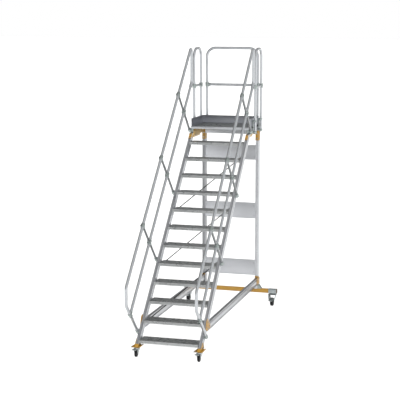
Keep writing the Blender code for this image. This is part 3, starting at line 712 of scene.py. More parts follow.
def make_platform():
    """The deck plank with its trim, two side beams with end caps, and two bearers."""
    size = DECK_HIGH - DECK_LOW
    deck = in_yz([plank(size.y, size.z, 68, 5)], size.x, (0, DECK_LOW.y, DECK_HIGH.z))
    stand_in("platform_deck", "ribbed", deck, deck_alu)
    low = (DECK_LOW.x + 0.001, DECK_LOW.y - 0.0024, DECK_LOW.z + 0.001)
    trim = block(low, (DECK_HIGH.x - 0.001, DECK_LOW.y - 0.0002, DECK_HIGH.z - 0.001), 0.0008)
    piece("platform_deck_trim", trim, beam_alu)

    inner, top = STRINGER_LOW.x, PLATFORM_HIGH.z
    width = PLATFORM_HIGH.x - inner
    bottom = STRINGER_HIGH.z + GAP
    slot = [(0.030, 0.008, 0.003)]
    tall = top - bottom
    loops = [section(width, tall, {1: slot, 3: slot}), hollow(width, tall, 0.005, 0.005, 0.005)]
    middle = (PLATFORM_LOW.y + PLATFORM_HIGH.y) / 2
    length = PLATFORM_HIGH.y - PLATFORM_LOW.y - 2 * PLATE
    for side_name, side in SIDES.items():
        x = inner if side > 0 else -PLATFORM_HIGH.x
        beam = in_xz(loops, length, (x, middle, bottom))
        stands_for = ["platform_frame"] if side > 0 else []
        piece(f"platform_side_beam_{side_name}", beam, beam_alu, instead_of=stands_for)
        for label, y in (("front", PLATFORM_LOW.y), ("rear", PLATFORM_HIGH.y - PLATE)):
            low = (x + 0.0005, y, bottom + 0.0005)
            cap = block(low, (x + width - 0.0005, y + PLATE - 0.0002, top - 0.0005), 0.0012)
            piece(f"platform_beam_cap_{label}_{side_name}", cap, clamp_cast)

    y, low_z = POST_LOW.y, PLATFORM_LOW.z
    shape = [(y, top), (y, low_z), (y + 0.022, low_z), (y + 0.022, low_z + PLATE)]
    shape += [(y + PLATE, low_z + PLATE), (y + PLATE, top - PLATE)]
    shape += [(PLATFORM_HIGH.y, top - PLATE), (PLATFORM_HIGH.y, top)]
    bearer = in_yz([rounded(shape, 0.002)], 2 * (POST_LOW.x - 2 * GAP))
    piece("platform_rear_bearer", bearer, beam_alu)
    y = (DECK_LOW.y + DECK_HIGH.y) / 2 - 0.0325
    shape = rounded(rectangle((y, top - 0.026), (y + 0.040, top)), 0.002)
    piece("platform_middle_bearer", in_yz([shape], 2 * (inner - GAP)), beam_alu)


def make_toe_boards():
    """Folded boards with a foot flange screwed to the deck and a lip along the top."""
    sheet = 0.0030
    screw = [(0, 0), (0.006, 0), (0.0055, 0.0016), (0.003, 0.0026), (0, 0.0028)]
    inward = 0.010
    for name, side in (("toe_board_left", -1), ("toe_board_right", 1), ("toe_board_rear", 0)):
        low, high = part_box(name)
        tall = high.z - low.z
        shape = [(0, 0), (-0.018, 0), (-0.018, sheet), (-sheet, sheet), (-sheet, tall - sheet)]
        shape = rounded(shape + [(-0.012, tall - sheet), (-0.012, tall), (0, tall)], 0.0024)
        z = low.z + sheet
        if side:
            length = high.y - low.y - 0.0004
            if side < 0:
                shape = [(-x, z) for x, z in shape]
            edge = high.x if side > 0 else low.x
            board = in_xz([shape], length, (edge, (low.y + high.y) / 2, low.z))
            spots = [(edge - side * inward, low.y + length * k, z) for k in (0.1, 0.37, 0.63, 0.9)]
        else:
            length = high.x - low.x - 0.0004
            board = in_yz([shape], length, (0, high.y, low.z))
            spots = [(length * k, high.y - inward, z) for k in (-0.42, -0.14, 0.14, 0.42)]
        stand_in(name, "folded", board, toe_alu)
        rivets(f"{name}_screws", screw, spots, (0, 0, 1))


# ---------------------------------------------------------------- rails and guards

# A cross or tee clamp: bore radius, half its collar's length, how far its arm runs down and up
CLAMPS = {"tee": (RAIL_R, COLLAR_HALF, -0.052, 0), "cross": (KNEE_R, 0.034, -0.048, 0.048)}
UP_SLOPE, OUT = Vector((0, 1, 1)).normalized(), Vector((0, -1, 1)).normalized()


def make_clamp(kind):
    """A fitting with the rail along +Y and the arm along +Z, and a split lug."""
    bore, half, low, high = CLAMPS[kind]
    collar = sleeve((0, -half, 0), (0, half, 0), CLAMP_R - 0.0003, 0.010)
    arm = bar((0, 0, low), (0, 0, high), ARM_R + COLLAR_WALL, 32, 0.0016)
    lug = block((0.010, -0.011, -0.012), (CLAMP_R + 0.005, 0.011, 0.012), 0.0035)
    cuts = [bar((0, -0.05, 0), (0, 0.05, 0), bore + FIT, 32)]
    cuts.append(upright(low - 0.01, high + 0.01 * (high > 0), ARM_R + FIT))
    cuts.append(block((0.024, -0.02, -0.0008), (0.04, 0.02, 0.0008), 0.0002, 1))
    return united(collar, arm, lug, cut=cuts)


def facing(side):
    """Turns a piece made for the right side to the left."""
    return spin(0 if side > 0 else 180, "Z")


def rail_frame(place, side):
    """Lays a clamp on the flight's slope, with its lug on the outer side."""
    turn = Matrix((UP_SLOPE.cross(OUT), UP_SLOPE, OUT)).transposed().to_4x4()
    return Matrix.Translation(place) @ turn @ facing(side)


def make_rail_foot(name, middle, side, seat, radius):
    """A saddle that holds a tube's foot against the stringer or platform side."""
    half = COLLAR_HALF
    collar = sleeve((0, 0, -half), (0, 0, half), radius + COLLAR_WALL, 0.008)
    foot = block((seat + GAP - RAIL_X, -0.024, -half), (-0.002, 0.024, half), 0.003)
    saddle = united(collar, foot, cut=[upright(-0.04, 0.04, radius + FIT)])
    place = Matrix.Translation(middle) @ spin(45, "X") @ facing(side)
    piece(name, transformed(saddle, place), clamp_cast)
    spots = [((radius + 0.0045, 0, z), (1, 0, 0)) for z in (-0.018, 0.018)]
    bolts(f"{name}_bolts", SADDLE_BOLT, spots, place)


def make_handrails():
    """Bent handrails and straight knee rails, with their end fittings."""
    front, drop = RAIL_LOW.y + RAIL_R, RAIL_HIGH.y - RAIL_R
    leg_corner_z = RISE + FRONT_Y + BOTTOM_ARM_ALONG * ROOT2 - front
    tee = make_clamp("tee")
    for side_name, side in SIDES.items():
        x = side * RAIL_X
        corners = [(x, drop, rail_z(KNEE_HEIGHT, drop) - 0.020), (x, drop, rail_z(HANDRAIL_HEIGHT, drop))]
        corners += [(x, front, rail_z(HANDRAIL_HEIGHT, front)), (x, front, leg_corner_z)]
        corners.append((x, *flight_point(BOTTOM_ARM_ALONG, -0.050)))
        rail = tube(bent(corners, HANDRAIL_BENDS), RAIL_R, sides=32)
        stand_in(f"handrail_{side_name}", "tube", rail, tube_alu)

        low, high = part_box(f"knee_rail_{side_name}")
        start = Vector((x, low.y + KNEE_R / ROOT2, low.z + KNEE_R / ROOT2))
        end = Vector((x, high.y - KNEE_R / ROOT2, high.z - KNEE_R / ROOT2))
        stand_in(f"knee_rail_{side_name}", "tube", tube([start, end], KNEE_R), tube_alu)

        # Elbow that carries the knee rail's top end into the handrail's drop
        turn = Vector((x, drop, rail_z(KNEE_HEIGHT, drop)))
        route = bent([turn + Vector((0, 0, 0.045)), turn, turn - UP_SLOPE * 0.082], (0.045,))
        piece(f"rail_elbow_{side_name}", tube(route, KNEE_R + 0.0040, 0.0026, 32), tube_alu)
        # Fitting at the knee rail's low end, and the foot at the stringer
        place = rail_frame(start - UP_SLOPE * (RAIL_R + 0.001), side) @ spin(-90, "X")
        piece(f"knee_rail_foot_clamp_{side_name}", transformed(tee.copy(), place), clamp_cast)
        middle = (x, *flight_point(BOTTOM_ARM_ALONG, -0.020))
        make_rail_foot(f"handrail_foot_{side_name}", middle, side, STRINGER_HIGH.x, RAIL_R)
    tee.free()


def make_rail_arms():
    """Arms square to the flight, in two lengths of tube, clamped to both rails."""
    clamps = {"hand": make_clamp("tee"), "knee": make_clamp("cross")}
    for side_name, side in SIDES.items():
        for number, along in enumerate(ARMS_ALONG, 1):
            node = f"rail_arm_{side_name}_{number}"
            levels = (-0.050, -0.020, KNEE_HEIGHT / ROOT2, HANDRAIL_HEIGHT / ROOT2)
            foot, middle, knee, hand = (Vector((side * RAIL_X, *flight_point(along, out))) for out in levels)
            lower = tube([foot, knee - OUT * (KNEE_R + 0.001)], ARM_R)
            upper = tube([knee + OUT * (KNEE_R + 0.001), hand - OUT * (RAIL_R + 0.001)], ARM_R)
            stand_in(node, "tube", joined(lower, upper), arm_alu)
            places = {"hand": rail_frame(hand, side), "knee": rail_frame(knee, side)}
            for label, place in places.items():
                piece(f"{node}_{label}_clamp", transformed(clamps[label].copy(), place), clamp_cast)
            for label, place in places.items():
                bolts(f"{node}_{label}_screw", SET_SCREW, [((0.024, 0, 0.012), (0, 0, 1))], place)
            seat = DECK_HIGH.x if number == len(ARMS_ALONG) else STRINGER_HIGH.x
            make_rail_foot(f"{node}_foot", middle, side, seat, ARM_R)
    for clamp in clamps.values():
        clamp.free()


def guard_tee(name, place, along):
    """A collar round an upright tube with a boss for the knee rail."""
    up = Vector((0, 0, COLLAR_HALF))
    collar = sleeve(place - up, place + up, CLAMP_R - 0.0003, 0.010)
    boss = bar(place, place + along * 0.052, KNEE_R + 0.0048, 32, 0.0016)
    cuts = [bar(place - 2 * up, place + 2 * up, RAIL_R + FIT, 32)]
    cuts.append(bar(place, place + along * 0.06, KNEE_R + FIT, 32))
    piece(name, united(collar, boss, cut=cuts), clamp_cast)


def make_guard(name, first, last, foot_z):
    """A hoop of tube with a knee rail between two tee clamps."""
    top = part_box(name)[1].z - RAIL_R
    corners = [(*first, foot_z), (*first, top), (*last, top), (*last, foot_z)]
    stand_in(name, "hoop", tube(bent(corners, (GUARD_BEND, GUARD_BEND)), RAIL_R, sides=32), tube_alu)
    a, b = Vector((*first, GUARD_KNEE_Z)), Vector((*last, GUARD_KNEE_Z))
    way = (b - a).normalized()
    knee = tube([a + way * (RAIL_R + 0.001), b - way * (RAIL_R + 0.001)], KNEE_R)
    piece(f"{name}_knee_rail", knee, tube_alu)
    guard_tee(f"{name}_tee_1", a, way)
    guard_tee(f"{name}_tee_2", b, -way)


def make_side_saddle(name, foot, side, low, high):
    """Two collars round a side guard's leg on one plate against the platform's edge."""
    reach = RAIL_X - DECK_HIGH.x - GAP
    half, deep = 0.016, 0.026
    parts = [block((-reach, -deep, low - half), (PLATE - reach, deep, high + half), 0.0015)]
    for z in (low, high):
        parts.append(sleeve((0, 0, z - half), (0, 0, z + half), RAIL_R + 0.0045, 0.008))
        parts.append(block((-reach, -deep, z - half), (-PLATE, deep, z + half), 0.003))
    saddle = united(*parts, cut=[upright(low - 0.03, high + 0.03, RAIL_R + FIT)])
    piece(name, transformed(saddle, shift(*foot) @ facing(side)), clamp_cast)


def make_rear_saddle(name, x, y, z):
    """A block that holds a rear guard's leg against the post or the deck's rear edge."""
    face = y + 0.006
    pad = block((x - 0.034, DECK_HIGH.y + GAP, z - 0.015), (x + 0.034, face, z + 0.015), 0.003)
    saddle = united(pad, cut=[bar((x, y, z - 0.03), (x, y, z + 0.03), RAIL_R + FIT, 32)])
    piece(name, saddle, clamp_cast)
    bolts(f"{name}_bolts", SADDLE_BOLT, [((x + s * 0.027, face, z), (0, 1, 0)) for s in (-1, 1)])


def make_guards():
    for side_name, side in SIDES.items():
        name = f"side_guard_{side_name}"
        low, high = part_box(name)
        feet = [(side * RAIL_X, low.y + CLAMP_R), (side * RAIL_X, high.y - CLAMP_R)]
        make_guard(name, *feet, low.z)
        for count, foot in enumerate(feet, 1):
            make_side_saddle(f"{name}_saddle_{count}", foot, side, low.z + 0.022, DECK_HIGH.z + 0.070)
    low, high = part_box("rear_guard")
    x, y = high.x - CLAMP_R, (low.y + high.y) / 2
    make_guard("rear_guard", (-x, y), (x, y), low.z)
    for side_name, side in SIDES.items():
        for level, z in (("low", low.z + 0.020), ("high", DECK_HIGH.z - 0.018)):
            make_rear_saddle(f"rear_guard_saddle_{level}_{side_name}", side * x, y, z)


# ---------------------------------------------------------------- rear frame and base


def make_posts():
    size = POST_HIGH - POST_LOW
    slots = [(k * size.y, 0.010, 0.004) for k in (0.3, 0.7)]
    outer = section(size.x, size.y, {1: slots, 3: slots, 0: [(size.x / 2, 0.016, 0.008)]})
    core = hollow(size.x, size.y, 0.006, 0.012, 0.006)
    # The left post takes the darker aluminium as painted shade; the right post takes the plain one.
    for side_name, metal in (("left", painted_shade_alu), ("right", post_alu)):
        low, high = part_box(f"rear_post_{side_name}")
        place = shift(low.x, low.y, (low.z + high.z) / 2)
        post = extruded([outer, core], high.z - low.z, place=place)
        stand_in(f"rear_post_{side_name}", "profile", post, metal)


def make_panels():
    wall = 0.003
    screw = [(0, 0), (0.007, 0), (0.006, 0.002), (0, 0.003)]
    for level in ("lower", "middle", "upper"):
        node = f"rear_panel_{level}"
        low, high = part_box(node)
        deep, tall = high.y - low.y, high.z - low.z
        lines = [(tall * k, 0.004, 0.0016) for k in (0.06, 0.94)]
        loops = [section(deep, tall, {1: lines, 3: lines}, 0.0025), hollow(deep, tall, wall, wall, wall)]
        stand_in(node, "sheet", in_yz(loops, high.x - low.x, (0, low.y, low.z)), panel_alu)
        spots = [(s * (high.x - 0.020), low.y, low.z + tall * k) for s in (-1, 1) for k in (0.2, 0.8)]
        rivets(f"{node}_screws", screw, spots, (0, -1, 0))


def make_rear_beam():
    """The wide beam with its end caps, and the sleeves that hold the rear casters."""
    low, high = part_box("rear_beam")
    cap, wall = 0.0035, 0.003
    wide, tall = high.y - low.y, high.z - low.z
    outer = rounded(rectangle((0, 0), (wide, tall)), 0.006, 4)
    inner = hollow(wide, tall, wall, wall, wall, 0.004)
    beam = in_yz([outer, inner], high.x - low.x - 2 * cap, (0, low.y, low.z))
    stand_in("rear_beam", "tube", beam, ochre)
    void = rounded(rectangle((low.y - GAP, low.z - GAP), (high.y + GAP, high.z + GAP)), 0.004)
    z = (low.z + high.z) / 2
    for side_name, side in SIDES.items():
        lid = in_yz([outer], cap - FIT, (side * (high.x - cap / 2), low.y, low.z), 0.0010)
        piece(f"rear_beam_cap_{side_name}", lid, cap_black)
        node = f"caster_sleeve_{side_name}"
        near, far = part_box(node)
        x = (near.x + far.x) / 2
        shell = rounded(rectangle((near.y, near.z), (far.y, far.z)), 0.005, 4)
        stand_in(node, "shell", in_yz([shell, void], far.x - near.x, (x, 0, 0)), zinc)
        faces = ((near.y, -1), (far.y, 1))
        spots = [((x + dx, y, z), (0, way, 0)) for dx in (-0.040, 0.040) for y, way in faces]
        bolts(f"{node}_bolts", FRAME_BOLT, spots)


def make_base_beams():
    """Slotted beams whose front ends are cut to the stringers' slope."""
    size = BEAM_HIGH - BEAM_LOW
    slots = [(z, 0.015, 0.009) for z in (0.020, size.z - 0.020)]
    loops = [section(size.x, size.z, {1: slots, 3: slots}), hollow(size.x, size.z, 0.0115, 0.0065, 0.0065)]
    middle = (BEAM_HIGH.y + BEAM_LOW.y) / 2
    for side_name in SIDES:
        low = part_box(f"base_beam_{side_name}")[0]
        beam = in_xz(loops, size.y, (low.x, middle, low.z))
        for vertex in beam.verts:
            if vertex.co.y < middle:
                vertex.co.y += vertex.co.z - low.z
        stand_in(f"base_beam_{side_name}", "profile", beam, beam_alu)


# ---------------------------------------------------------------- ochre brackets


def bracket(name, bolts_name, shape, spots, y, side, face, outward, material, corner):
    """A plate in the Y-Z plane, bolted on its face. Its shape and its bolts count from y."""
    outline = rounded([(y + a, b) for a, b in shape], corner, 4)
    plate = in_yz([outline], PLATE, (side * (face - outward * PLATE / 2), 0, 0), 0.0007)
    piece(name, plate, material)
    spots = [((side * face, y + a, b), (side * outward, 0, 0)) for a, b in spots]
    bolts(bolts_name, FRAME_BOLT, spots)


def make_beam_brackets():
    """Plates over the joints of stringer and base beam, and of post and base beam."""
    front = [(0.205, 0.365), (0.275, 0.330), (0.385, 0.330), (0.420, 0.345), (0.420, 0.380)]
    front += [(0.350, 0.440), (0.290, 0.492), (0.240, 0.465)]
    front_bolts = [(0.300, 0.440), (0.375, 0.380), (0.250, 0.385), (0.315, 0.352)]
    rear = [(-0.085, 0.322), (0.090, 0.322), (0.090, 0.424), (0.030, 0.436), (-0.085, 0.412)]
    rear_bolts = [(-0.055, 0.342), (-0.055, 0.392), (0.060, 0.342), (0.060, 0.400)]
    x, y = STRINGER_HIGH.x, POST_LOW.y
    ends = {"front": (front, front_bolts, NOSE_Y), "rear": (rear, rear_bolts, y)}
    for side_name, side in SIDES.items():
        for end, plan in ends.items():
            name = f"beam_bracket_{end}_{side_name}"
            bracket(name, f"{name}_bolts", *plan, side, x + 0.0042, 1, ochre, 0.006)
        pad = side_block(side, POST_HIGH.x + GAP, x - GAP, (y + 0.010, y + 0.086), (0.326, 0.418), 0.001)
        piece(f"beam_bracket_packer_{side_name}", pad, ochre)
        strap = side_block(side, POST_LOW.x, x, (y - 0.0034, y - 0.0004), (0.424, 0.446), 0.001)
        piece(f"post_strap_{side_name}", strap, ochre)


def make_top_brackets():
    """Ochre plates that hang the platform's side beams on the stringers and the posts."""
    shape = [(2.462, 2.600), (2.860, 2.600), (2.925, 2.628), (3.060, 2.628), (3.060, 2.716)]
    shape += [(2.560, 2.716), (2.540, 2.662)]
    heads = [(2.545, 2.625), (2.640, 2.625), (2.590, 2.690), (2.720, 2.690), (2.900, 2.690), (3.020, 2.690)]
    face = STRINGER_LOW.x - GAP - PLATE
    top_along = (STRINGER_HIGH.z - RISE) * ROOT2
    for side_name, side in SIDES.items():
        names = (f"top_bracket_{side_name}", f"top_bracket_bolts_{side_name}")
        # The top brackets take the paler ochre as painted sheen.
        bracket(*names, shape, heads, NOSE_Y, side, face, -1, ochre_painted_sheen, 0.008)
        # A strap over the stringer's front face, square to the flight
        x = side * (STRINGER_LOW.x + STRINGER_HIGH.x) / 2
        place = shift(x, *flight_point(top_along - 0.050, GAP)) @ spin(45, "X")
        strap = block((-0.0215, -0.050, 0), (0.0215, 0.044, 0.003), 0.001)
        piece(f"top_strap_{side_name}", transformed(strap, place), ochre)
        spots = [((0, s, 0.003), (0, 0, 1)) for s in (-0.032, 0.028)]
        bolts(f"top_strap_bolts_{side_name}", STRAP_BOLT, spots, place)
        make_post_collar(side_name)


def make_post_collar(side_name):
    """An ochre collar round the front and sides of a post's top."""
    low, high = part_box(f"rear_post_{side_name}")
    z_low, z_high = high.z - 0.150, high.z - 0.002
    wall = 0.003
    ring = rounded(rectangle((low.x - wall, low.y - wall), (high.x + wall, high.y - 0.004)), 0.004)
    void = rounded(rectangle((low.x - GAP, low.y - GAP), (high.x + GAP, high.y + 0.02)), 0.002, 2)
    place = shift(0, 0, (z_low + z_high) / 2)
    collar = extruded([ring], z_high - z_low, 0.0008, place)
    cut = extruded([void], z_high - z_low + 0.02, 0.0, place)
    piece(f"post_top_bracket_{side_name}", united(collar, cut=[cut]), ochre)
    x = (low.x + high.x) / 2
    spots = [((x, low.y - wall, z), (0, -1, 0)) for z in (z_low + 0.03, z_high - 0.05)]
    bolts(f"post_top_bolts_{side_name}", STRAP_BOLT, spots)


def make_post_feet():
    """Gussets that stand each post on the rear beam."""
    low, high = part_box("rear_beam")
    top, middle = high.z, (low.y + high.y) / 2
    x = POST_HIGH.x + GAP
    shape = [(x, top + 0.0040), (x + 0.052, top + 0.0040), (x + 0.052, top + 0.009)]
    shape += [(x + 0.006, top + 0.074), (x, top + 0.074)]
    span = (middle - 0.028, middle + 0.028)
    for side_name, side in SIDES.items():
        outline = rounded([(side * a, b) for a, b in shape][::side], 0.003)
        webs = [in_xz([outline], 0.004, (0, middle + dy, 0), 0.0006) for dy in (-0.022, 0.022)]
        base = side_block(side, x, x + 0.054, span, (top + GAP, top + 0.0045), 0.001)
        back = side_block(side, x, x + 0.0042, span, (top + GAP, top + 0.076), 0.001)
        piece(f"post_foot_{side_name}", united(base, back, *webs), clamp_cast)
        spots = [((side * (x + 0.032), middle, top + 0.0045), (0, 0, 1))]
        spots.append(((side * (x + 0.0042), middle, top + 0.050), (side, 0, 0)))
        bolts(f"post_foot_bolts_{side_name}", FRAME_BOLT, spots)


def make_foot_brackets():
    """Ochre trays under the stringers: lips, gusset and shoe, and the front caster's plate."""
    sheet, half = 0.0030, 0.0525
    outer = STRINGER_HIGH.x + GAP
    shoe_top = STRINGER_LOW.z - GAP
    width = outer + 0.001 - STRINGER_LOW.x
    side_bolts = ((0.095, 0.160), (0.145, 0.160), (0.120, 0.200))
    for side_name, side in SIDES.items():
        node = f"foot_bracket_{side_name}"
        low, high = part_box(node)
        x, y, rear = (low.x + high.x) / 2, low.y, high.y
        top = low.z + 2 * sheet
        under = top - sheet
        parts = [block((x - half, y, under), (x + half, rear, top), 0.0012)]
        for edge in (x - half, x + half - sheet):
            parts.append(block((edge, y + 0.004, under), (edge + sheet, rear - 0.004, top + 0.012), 0.0012))
        gusset = [(y + 0.002, under), (rear - 0.002, under), (rear - 0.002, 0.170)]
        gusset += [(rear - 0.022, 0.222), (rear - 0.070, 0.222), (y + 0.002, 0.142)]
        parts.append(in_yz([rounded(gusset, 0.004)], 0.0036, (side * (outer + 0.0020), 0, 0), 0.0008))
        shoe = [(STRINGER_LOW.y - shoe_top + top, top - 0.001), (rear - 0.012, top - 0.001)]
        shoe += [(rear - 0.012, shoe_top), (STRINGER_LOW.y, shoe_top)]
        middle = side * (STRINGER_LOW.x + width / 2)
        parts.append(in_yz([rounded(shoe, 0.0015, 2)], width, (middle, 0, 0), 0.0008))
        stand_in(node, "tray", united(*parts), ochre)
        spots = [((side * (outer + 0.0038), y + dy, z), (side, 0, 0)) for dy, z in side_bolts]
        spots += [((x - side * 0.040, y + dy, top), (0, 0, 1)) for dy in (0.018, 0.150)]
        bolts(f"{node}_bolts", STRAP_BOLT, spots)
        plate = block((x - 0.074, y + 0.004, low.z), (x + 0.047, y + 0.112, under - 0.0002), 0.001)
        piece(f"caster_plate_front_{side_name}", plate, zinc)


# ---------------------------------------------------------------- casters

# (y, z) of pivot and tip count from the swivel's axis and the floor
CASTERS = {
    "front": {
        "trail": 0.040,
        "inside": 0.0185,
        "flare": 0.14,
        "flange": 0,
        "pivot": (-0.062, 0.108),
        "tip": (-0.134, 0.116),
        "pedal_half": 0.036,
    },
    "rear": {
        "trail": 0.030,
        "inside": 0.0265,
        "flare": 0.27,
        "flange": 0.014,
        "pivot": (-0.086, 0.118),
        "tip": (-0.142, 0.098),
        "pedal_half": 0.037,
    },
}
LEG = 0.0035
LEG_FOOT_R = 0.014


def make_fork(where, size, swivel, radius):
    """Swivel head, flared legs of folded plate and the axle bolt."""
    height = swivel.z
    top = height - 0.010
    axle, ear = (-size["trail"], radius), size["pivot"]
    shape = [(0.034, top), (ear[0] + 0.006, top), *arc(ear, 0.0085, 100, 250, 6)]
    shape.append((axle[0] - LEG_FOOT_R - 0.004, axle[1] + 0.012))
    shape += [*arc(axle, LEG_FOOT_R, 180, 330, 8), (0.028, top - 0.022)]
    middle = size["inside"] + LEG / 2
    reach = middle + size["flare"] * (top - radius)
    parts = [block((-reach, ear[0] + 0.026, top - 0.0035), (reach, 0.034, top + 0.0004), 0.0012)]
    rim = [(0.034, top), (0.028, top - 0.022), (0.000, radius + 0.030), (-0.0035, radius + 0.0315)]
    rim += [(0.0245, top - 0.021), (0.0305, top)]
    for side in (-1, 1):
        leg = in_yz([shape], LEG, bevel=0.0009)
        if size["flange"]:
            inward = (side * (LEG - size["flange"]) / 2, 0, 0)
            leg = united(leg, in_yz([rim], size["flange"], inward, 0.0006))
        for vertex in leg.verts:
            vertex.co.x += side * (middle + size["flare"] * (vertex.co.z - radius))
        parts.append(leg)
    place = shift(swivel.x, swivel.y)
    body = f"caster_{where}"
    stand_in(f"caster_fork_{where}", "legs", transformed(united(*parts), place), zinc, body)
    head = [(0, top + 0.0006), (0.030, top + 0.0006), (0.034, top + 0.002), (0.0355, top + 0.0045)]
    head += [(0.033, top + 0.0052), (0.033, top + 0.0062), (0.036, top + 0.007)]
    head += [(0.036, height - 0.0012), (0.0345, height - 0.0002), (0, height - 0.0002)]
    piece(f"caster_race_{where}", turned(head, 48, place=place), zinc, body)
    pin = [(0, top - 0.010), (0.006, top - 0.010), (0.0075, top - 0.0085), (0.0075, top - 0.0036)]
    pin.append((0, top - 0.0036))
    piece(f"caster_kingpin_{where}", turned(pin, 24, place=place), bolt_steel, body)
    face = middle + LEG / 2
    spindle = bar((-face - 0.001, *axle), (face + 0.001, *axle), 0.0058, 24)
    piece(f"caster_axle_{where}", transformed(spindle, place), bolt_steel, body)
    spots = [((side * (face + 0.0002), *axle), (side, 0, 0)) for side in (-1, 1)]
    bolts(f"caster_axle_nuts_{where}", AXLE_NUT, spots, place, body)
    ear_half = face + size["flare"] * (ear[1] - radius) + 0.001
    rod = bar((-ear_half, *ear), (ear_half, *ear), 0.0042, 16)
    piece(f"brake_pivot_{where}", transformed(rod, place), bolt_steel, body)


def make_wheel(where, size, swivel, low, high):
    """Rubber tyre on a ribbed hub, with a thread guard on each side."""
    radius = (high.z - low.z) / 2
    half = min((high.x - low.x) / 2, size["inside"] - 0.0015)
    place = shift(swivel.x, swivel.y - size["trail"], radius) @ spin(90, "Y")
    body = f"wheel_{where}"
    rim = 0.70 * radius
    wide = half - 0.002
    shoulder = [(rim, wide), (radius - 0.006, wide), (radius - 0.0025, wide - 0.002)]
    shoulder.append((radius - 0.0008, wide - 0.006))
    profile = [(r, -x) for r, x in shoulder]
    for x in (-0.33 * wide, 0.33 * wide):
        profile += [(radius, x - 0.0022), (radius - 0.0016, x - 0.0012)]
        profile += [(radius - 0.0016, x + 0.0012), (radius, x + 0.0022)]
    profile += shoulder[::-1]
    rubber_ring = turned(profile, 72, True, place)
    piece(f"caster_tyre_{where}", rubber_ring, tyre, body, [f"caster_wheel_{where}"])
    deep = wide - 0.001
    hub = [(0.0064, -half + 0.001), (0.013, -half + 0.001), (0.014, -deep + 0.003)]
    hub += [(0.3 * radius, -deep + 0.005), (0.60 * radius, -deep + 0.005)]
    hub += [(0.64 * radius, -deep), (rim - 0.0002, -deep)]
    hub += [(r, -x) for r, x in reversed(hub)]
    piece(f"caster_hub_{where}", turned(hub, 60, True, place), hub_grey, body)
    ring = [(0.0066, 0), (0.42 * radius, 0), (0.44 * radius, 0.0008)]
    ring += [(0.40 * radius, 0.0018), (0.0066, 0.0022)]
    seats = [shift(z=side * (deep - 0.0045)) @ spin(0 if side > 0 else 180, "X") for side in (-1, 1)]
    guards = [turned(ring, 40, True, seat) for seat in seats]
    piece(f"caster_thread_guards_{where}", transformed(joined(*guards), place), hub_grey, body)


def make_pedal(where, size, swivel, radius):
    """Stamped brake pedal: barrel, ribbed foot plate with a turned-down lip."""
    pivot, tip = Vector(size["pivot"]), Vector(size["tip"])
    reach = (tip - pivot).length
    barrel = size["inside"] + size["flare"] * (pivot[1] - radius) - 0.0024
    arm, half, start, corner = barrel - 0.001, size["pedal_half"], 0.0115, 0.010
    shape = [(arm, 0.001), (arm, -start), (half, -start - 0.006)]
    shape += arc((half - corner, corner - reach), corner, 0, -90)
    shape += arc((corner - half, corner - reach), corner, -90, -180)
    shape += [(-half, -start - 0.006), (-arm, -start), (-arm, 0.001)]
    plate = extruded([shape], 0.003, 0.0008)
    lip = block((-half + 0.009, -reach + 0.0002, -0.0078), (half - 0.009, -reach + 0.0030, 0.0010), 0.0009)
    ribs = []
    wide = half - 0.008
    for n in range(4):
        y = -start - 0.010 - n * (reach - start - 0.016) / 4
        ribs.append(block((-wide, y - 0.0012, 0.0010), (wide, y + 0.0012, 0.0026), 0.0005, 1))
    way = pivot - tip
    droop = Matrix.Rotation(math.atan2(way.y, way.x), 4, "X")
    roll = sleeve((-barrel, 0, 0), (barrel, 0, 0), 0.0068, 0.0045, 24, 0.0006)
    bore = bar((-0.1, 0, 0), (0.1, 0, 0), 0.0044, 20)
    stamping = united(transformed(united(plate, lip, *ribs), droop), roll, cut=[bore])
    place = shift(swivel.x, swivel.y + pivot[0], pivot[1])
    stand_in(f"brake_pedal_{where}", "stamping", transformed(stamping, place), zinc, f"pedal_{where}")


def make_casters():
    places = {joint["name"]: Vector(joint["pos_m"]) for joint in frame["joints"]}
    for end, size in CASTERS.items():
        for side_name in SIDES:
            where = f"{end}_{side_name}"
            swivel, radius = places[f"swivel_{where}"], places[f"roll_{where}"].z
            make_fork(where, size, swivel, radius)
            make_wheel(where, size, swivel, *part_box(f"caster_wheel_{where}"))
            make_pedal(where, size, swivel, radius)


# ---------------------------------------------------------------- light, floor, camera


def make_world():
    """A pale room: bright low down, in front and to the right, darker behind."""
    world = bpy.data.worlds.new("studio")
    bpy.context.scene.world = world
    world.use_nodes = True
    nodes, link = world.node_tree.nodes, world.node_tree.links.new
    background = nodes["Background"]
    direction = nodes.new("ShaderNodeSeparateXYZ")
    link(nodes.new("ShaderNodeTexCoord").outputs["Generated"], direction.inputs[0])
    height = nodes.new("ShaderNodeValToRGB")
    stops = ((0.0, 0.60), (0.20, 0.46), (0.50, 0.40), (1.0, 0.50))
    for n, (place, level) in enumerate(stops):
        element = height.color_ramp.elements[n] if n < 2 else height.color_ramp.elements.new(place)
        element.position = place
        element.color = (level, level, level, 1)
    link(direction.outputs["Z"], height.inputs["Fac"])
    product = nodes.new("ShaderNodeMath")
    product.operation = "MULTIPLY"
    slopes = (("Y", (0.6, 0.75), (-0.9, 1.9)), ("X", (-0.8, 0.40), (0.8, 1.65)))
    for count, (axis, start, end) in enumerate(slopes):
        part = nodes.new("ShaderNodeMapRange")
        part.inputs["From Min"].default_value, part.inputs["To Min"].default_value = start
        part.inputs["From Max"].default_value, part.inputs["To Max"].default_value = end
        link(direction.outputs[axis], part.inputs["Value"])
        link(part.outputs["Result"], product.inputs[count])
    link(height.outputs["Color"], background.inputs["Color"])
    link(product.outputs["Value"], background.inputs["Strength"])
    # Seen directly, the room is plain white.
    plain = nodes.new("ShaderNodeBackground")
    plain.inputs["Color"].default_value = (1, 1, 1, 1)
    both = nodes.new("ShaderNodeMixShader")
    link(nodes.new("ShaderNodeLightPath").outputs["Is Camera Ray"], both.inputs[0])
    link(background.outputs[0], both.inputs[1])
    link(plain.outputs[0], both.inputs[2])
    link(both.outputs[0], nodes["World Output"].inputs["Surface"])


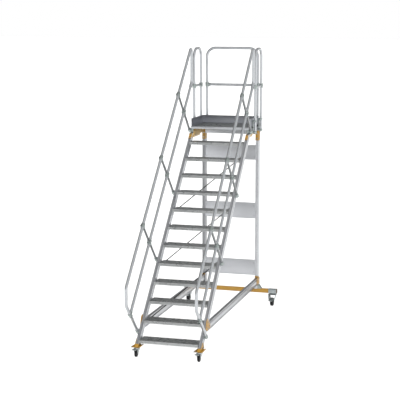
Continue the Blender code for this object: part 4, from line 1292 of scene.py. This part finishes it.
def make_floor():
    mesh = bpy.data.meshes.new("floor")
    bm = bmesh.new()
    bmesh.ops.create_grid(bm, x_segments=1, y_segments=1, size=150)
    bm.to_mesh(mesh)
    bm.free()
    floor = bpy.data.objects.new("floor", mesh)
    floor.location.z = -0.0005
    bpy.context.scene.collection.objects.link(floor)
    pale = bpy.data.materials.new("pale_floor")
    pale.use_nodes = True
    shader = pale.node_tree.nodes["Principled BSDF"]
    shader.inputs["Base Color"].default_value = (0.93, 0.93, 0.93, 1)
    shader.inputs["Roughness"].default_value = 0.95
    shader.inputs["Specular IOR Level"].default_value = 0.1
    mesh.materials.append(pale)
    return floor


def make_lights(floor):
    """A key light with shadow, a soft fill, and a light of its own for the floor."""
    suns = {
        "key": ((6.5, -5.5, 8.0), 3.0, 35),
        "fill": ((-5.0, -6.0, 8.0), 0.9, 50),
        "floor_light": ((-4.0, -6.5, 9.0), 3.0, 35),
    }
    only_floor, all_but_floor = (bpy.data.collections.new(n) for n in ("only_floor", "all_but_floor"))
    for group in (only_floor, all_but_floor):
        group.objects.link(floor)
    all_but_floor.collection_objects[0].light_linking.link_state = "EXCLUDE"
    receivers = {"key": all_but_floor, "floor_light": only_floor}
    for name, (place, power, spread) in suns.items():
        data = bpy.data.lights.new(name, "SUN")
        data.energy = power
        data.angle = math.radians(spread)
        data.use_shadow = name == "key"
        lamp = bpy.data.objects.new(name, data)
        lamp.location = place
        lamp.visible_glossy = False
        if name in receivers:
            lamp.light_linking.receiver_collection = receivers[name]
        lamp.rotation_euler = (-Vector(place)).to_track_quat("-Z", "Y").to_euler()
        bpy.context.scene.collection.objects.link(lamp)
    bpy.context.scene.view_settings.view_transform = "Standard"


def make_camera():
    data = bpy.data.cameras.new("camera")
    data.lens = 111.165
    camera = bpy.data.objects.new("camera", data)
    camera.location = (4.6345, -16.1890, 4.4889)
    camera.rotation_euler = (math.radians(81.083), 0, math.radians(15.966))
    bpy.context.scene.collection.objects.link(camera)
    bpy.context.scene.camera = camera


make_camera()
make_world()
make_lights(make_floor())
make_stringers()
make_treads()
make_braces()
make_platform()
make_toe_boards()
make_handrails()
make_rail_arms()
make_guards()
make_posts()
make_panels()
make_rear_beam()
make_base_beams()
make_beam_brackets()
make_top_brackets()
make_post_feet()
make_foot_brackets()
make_casters()
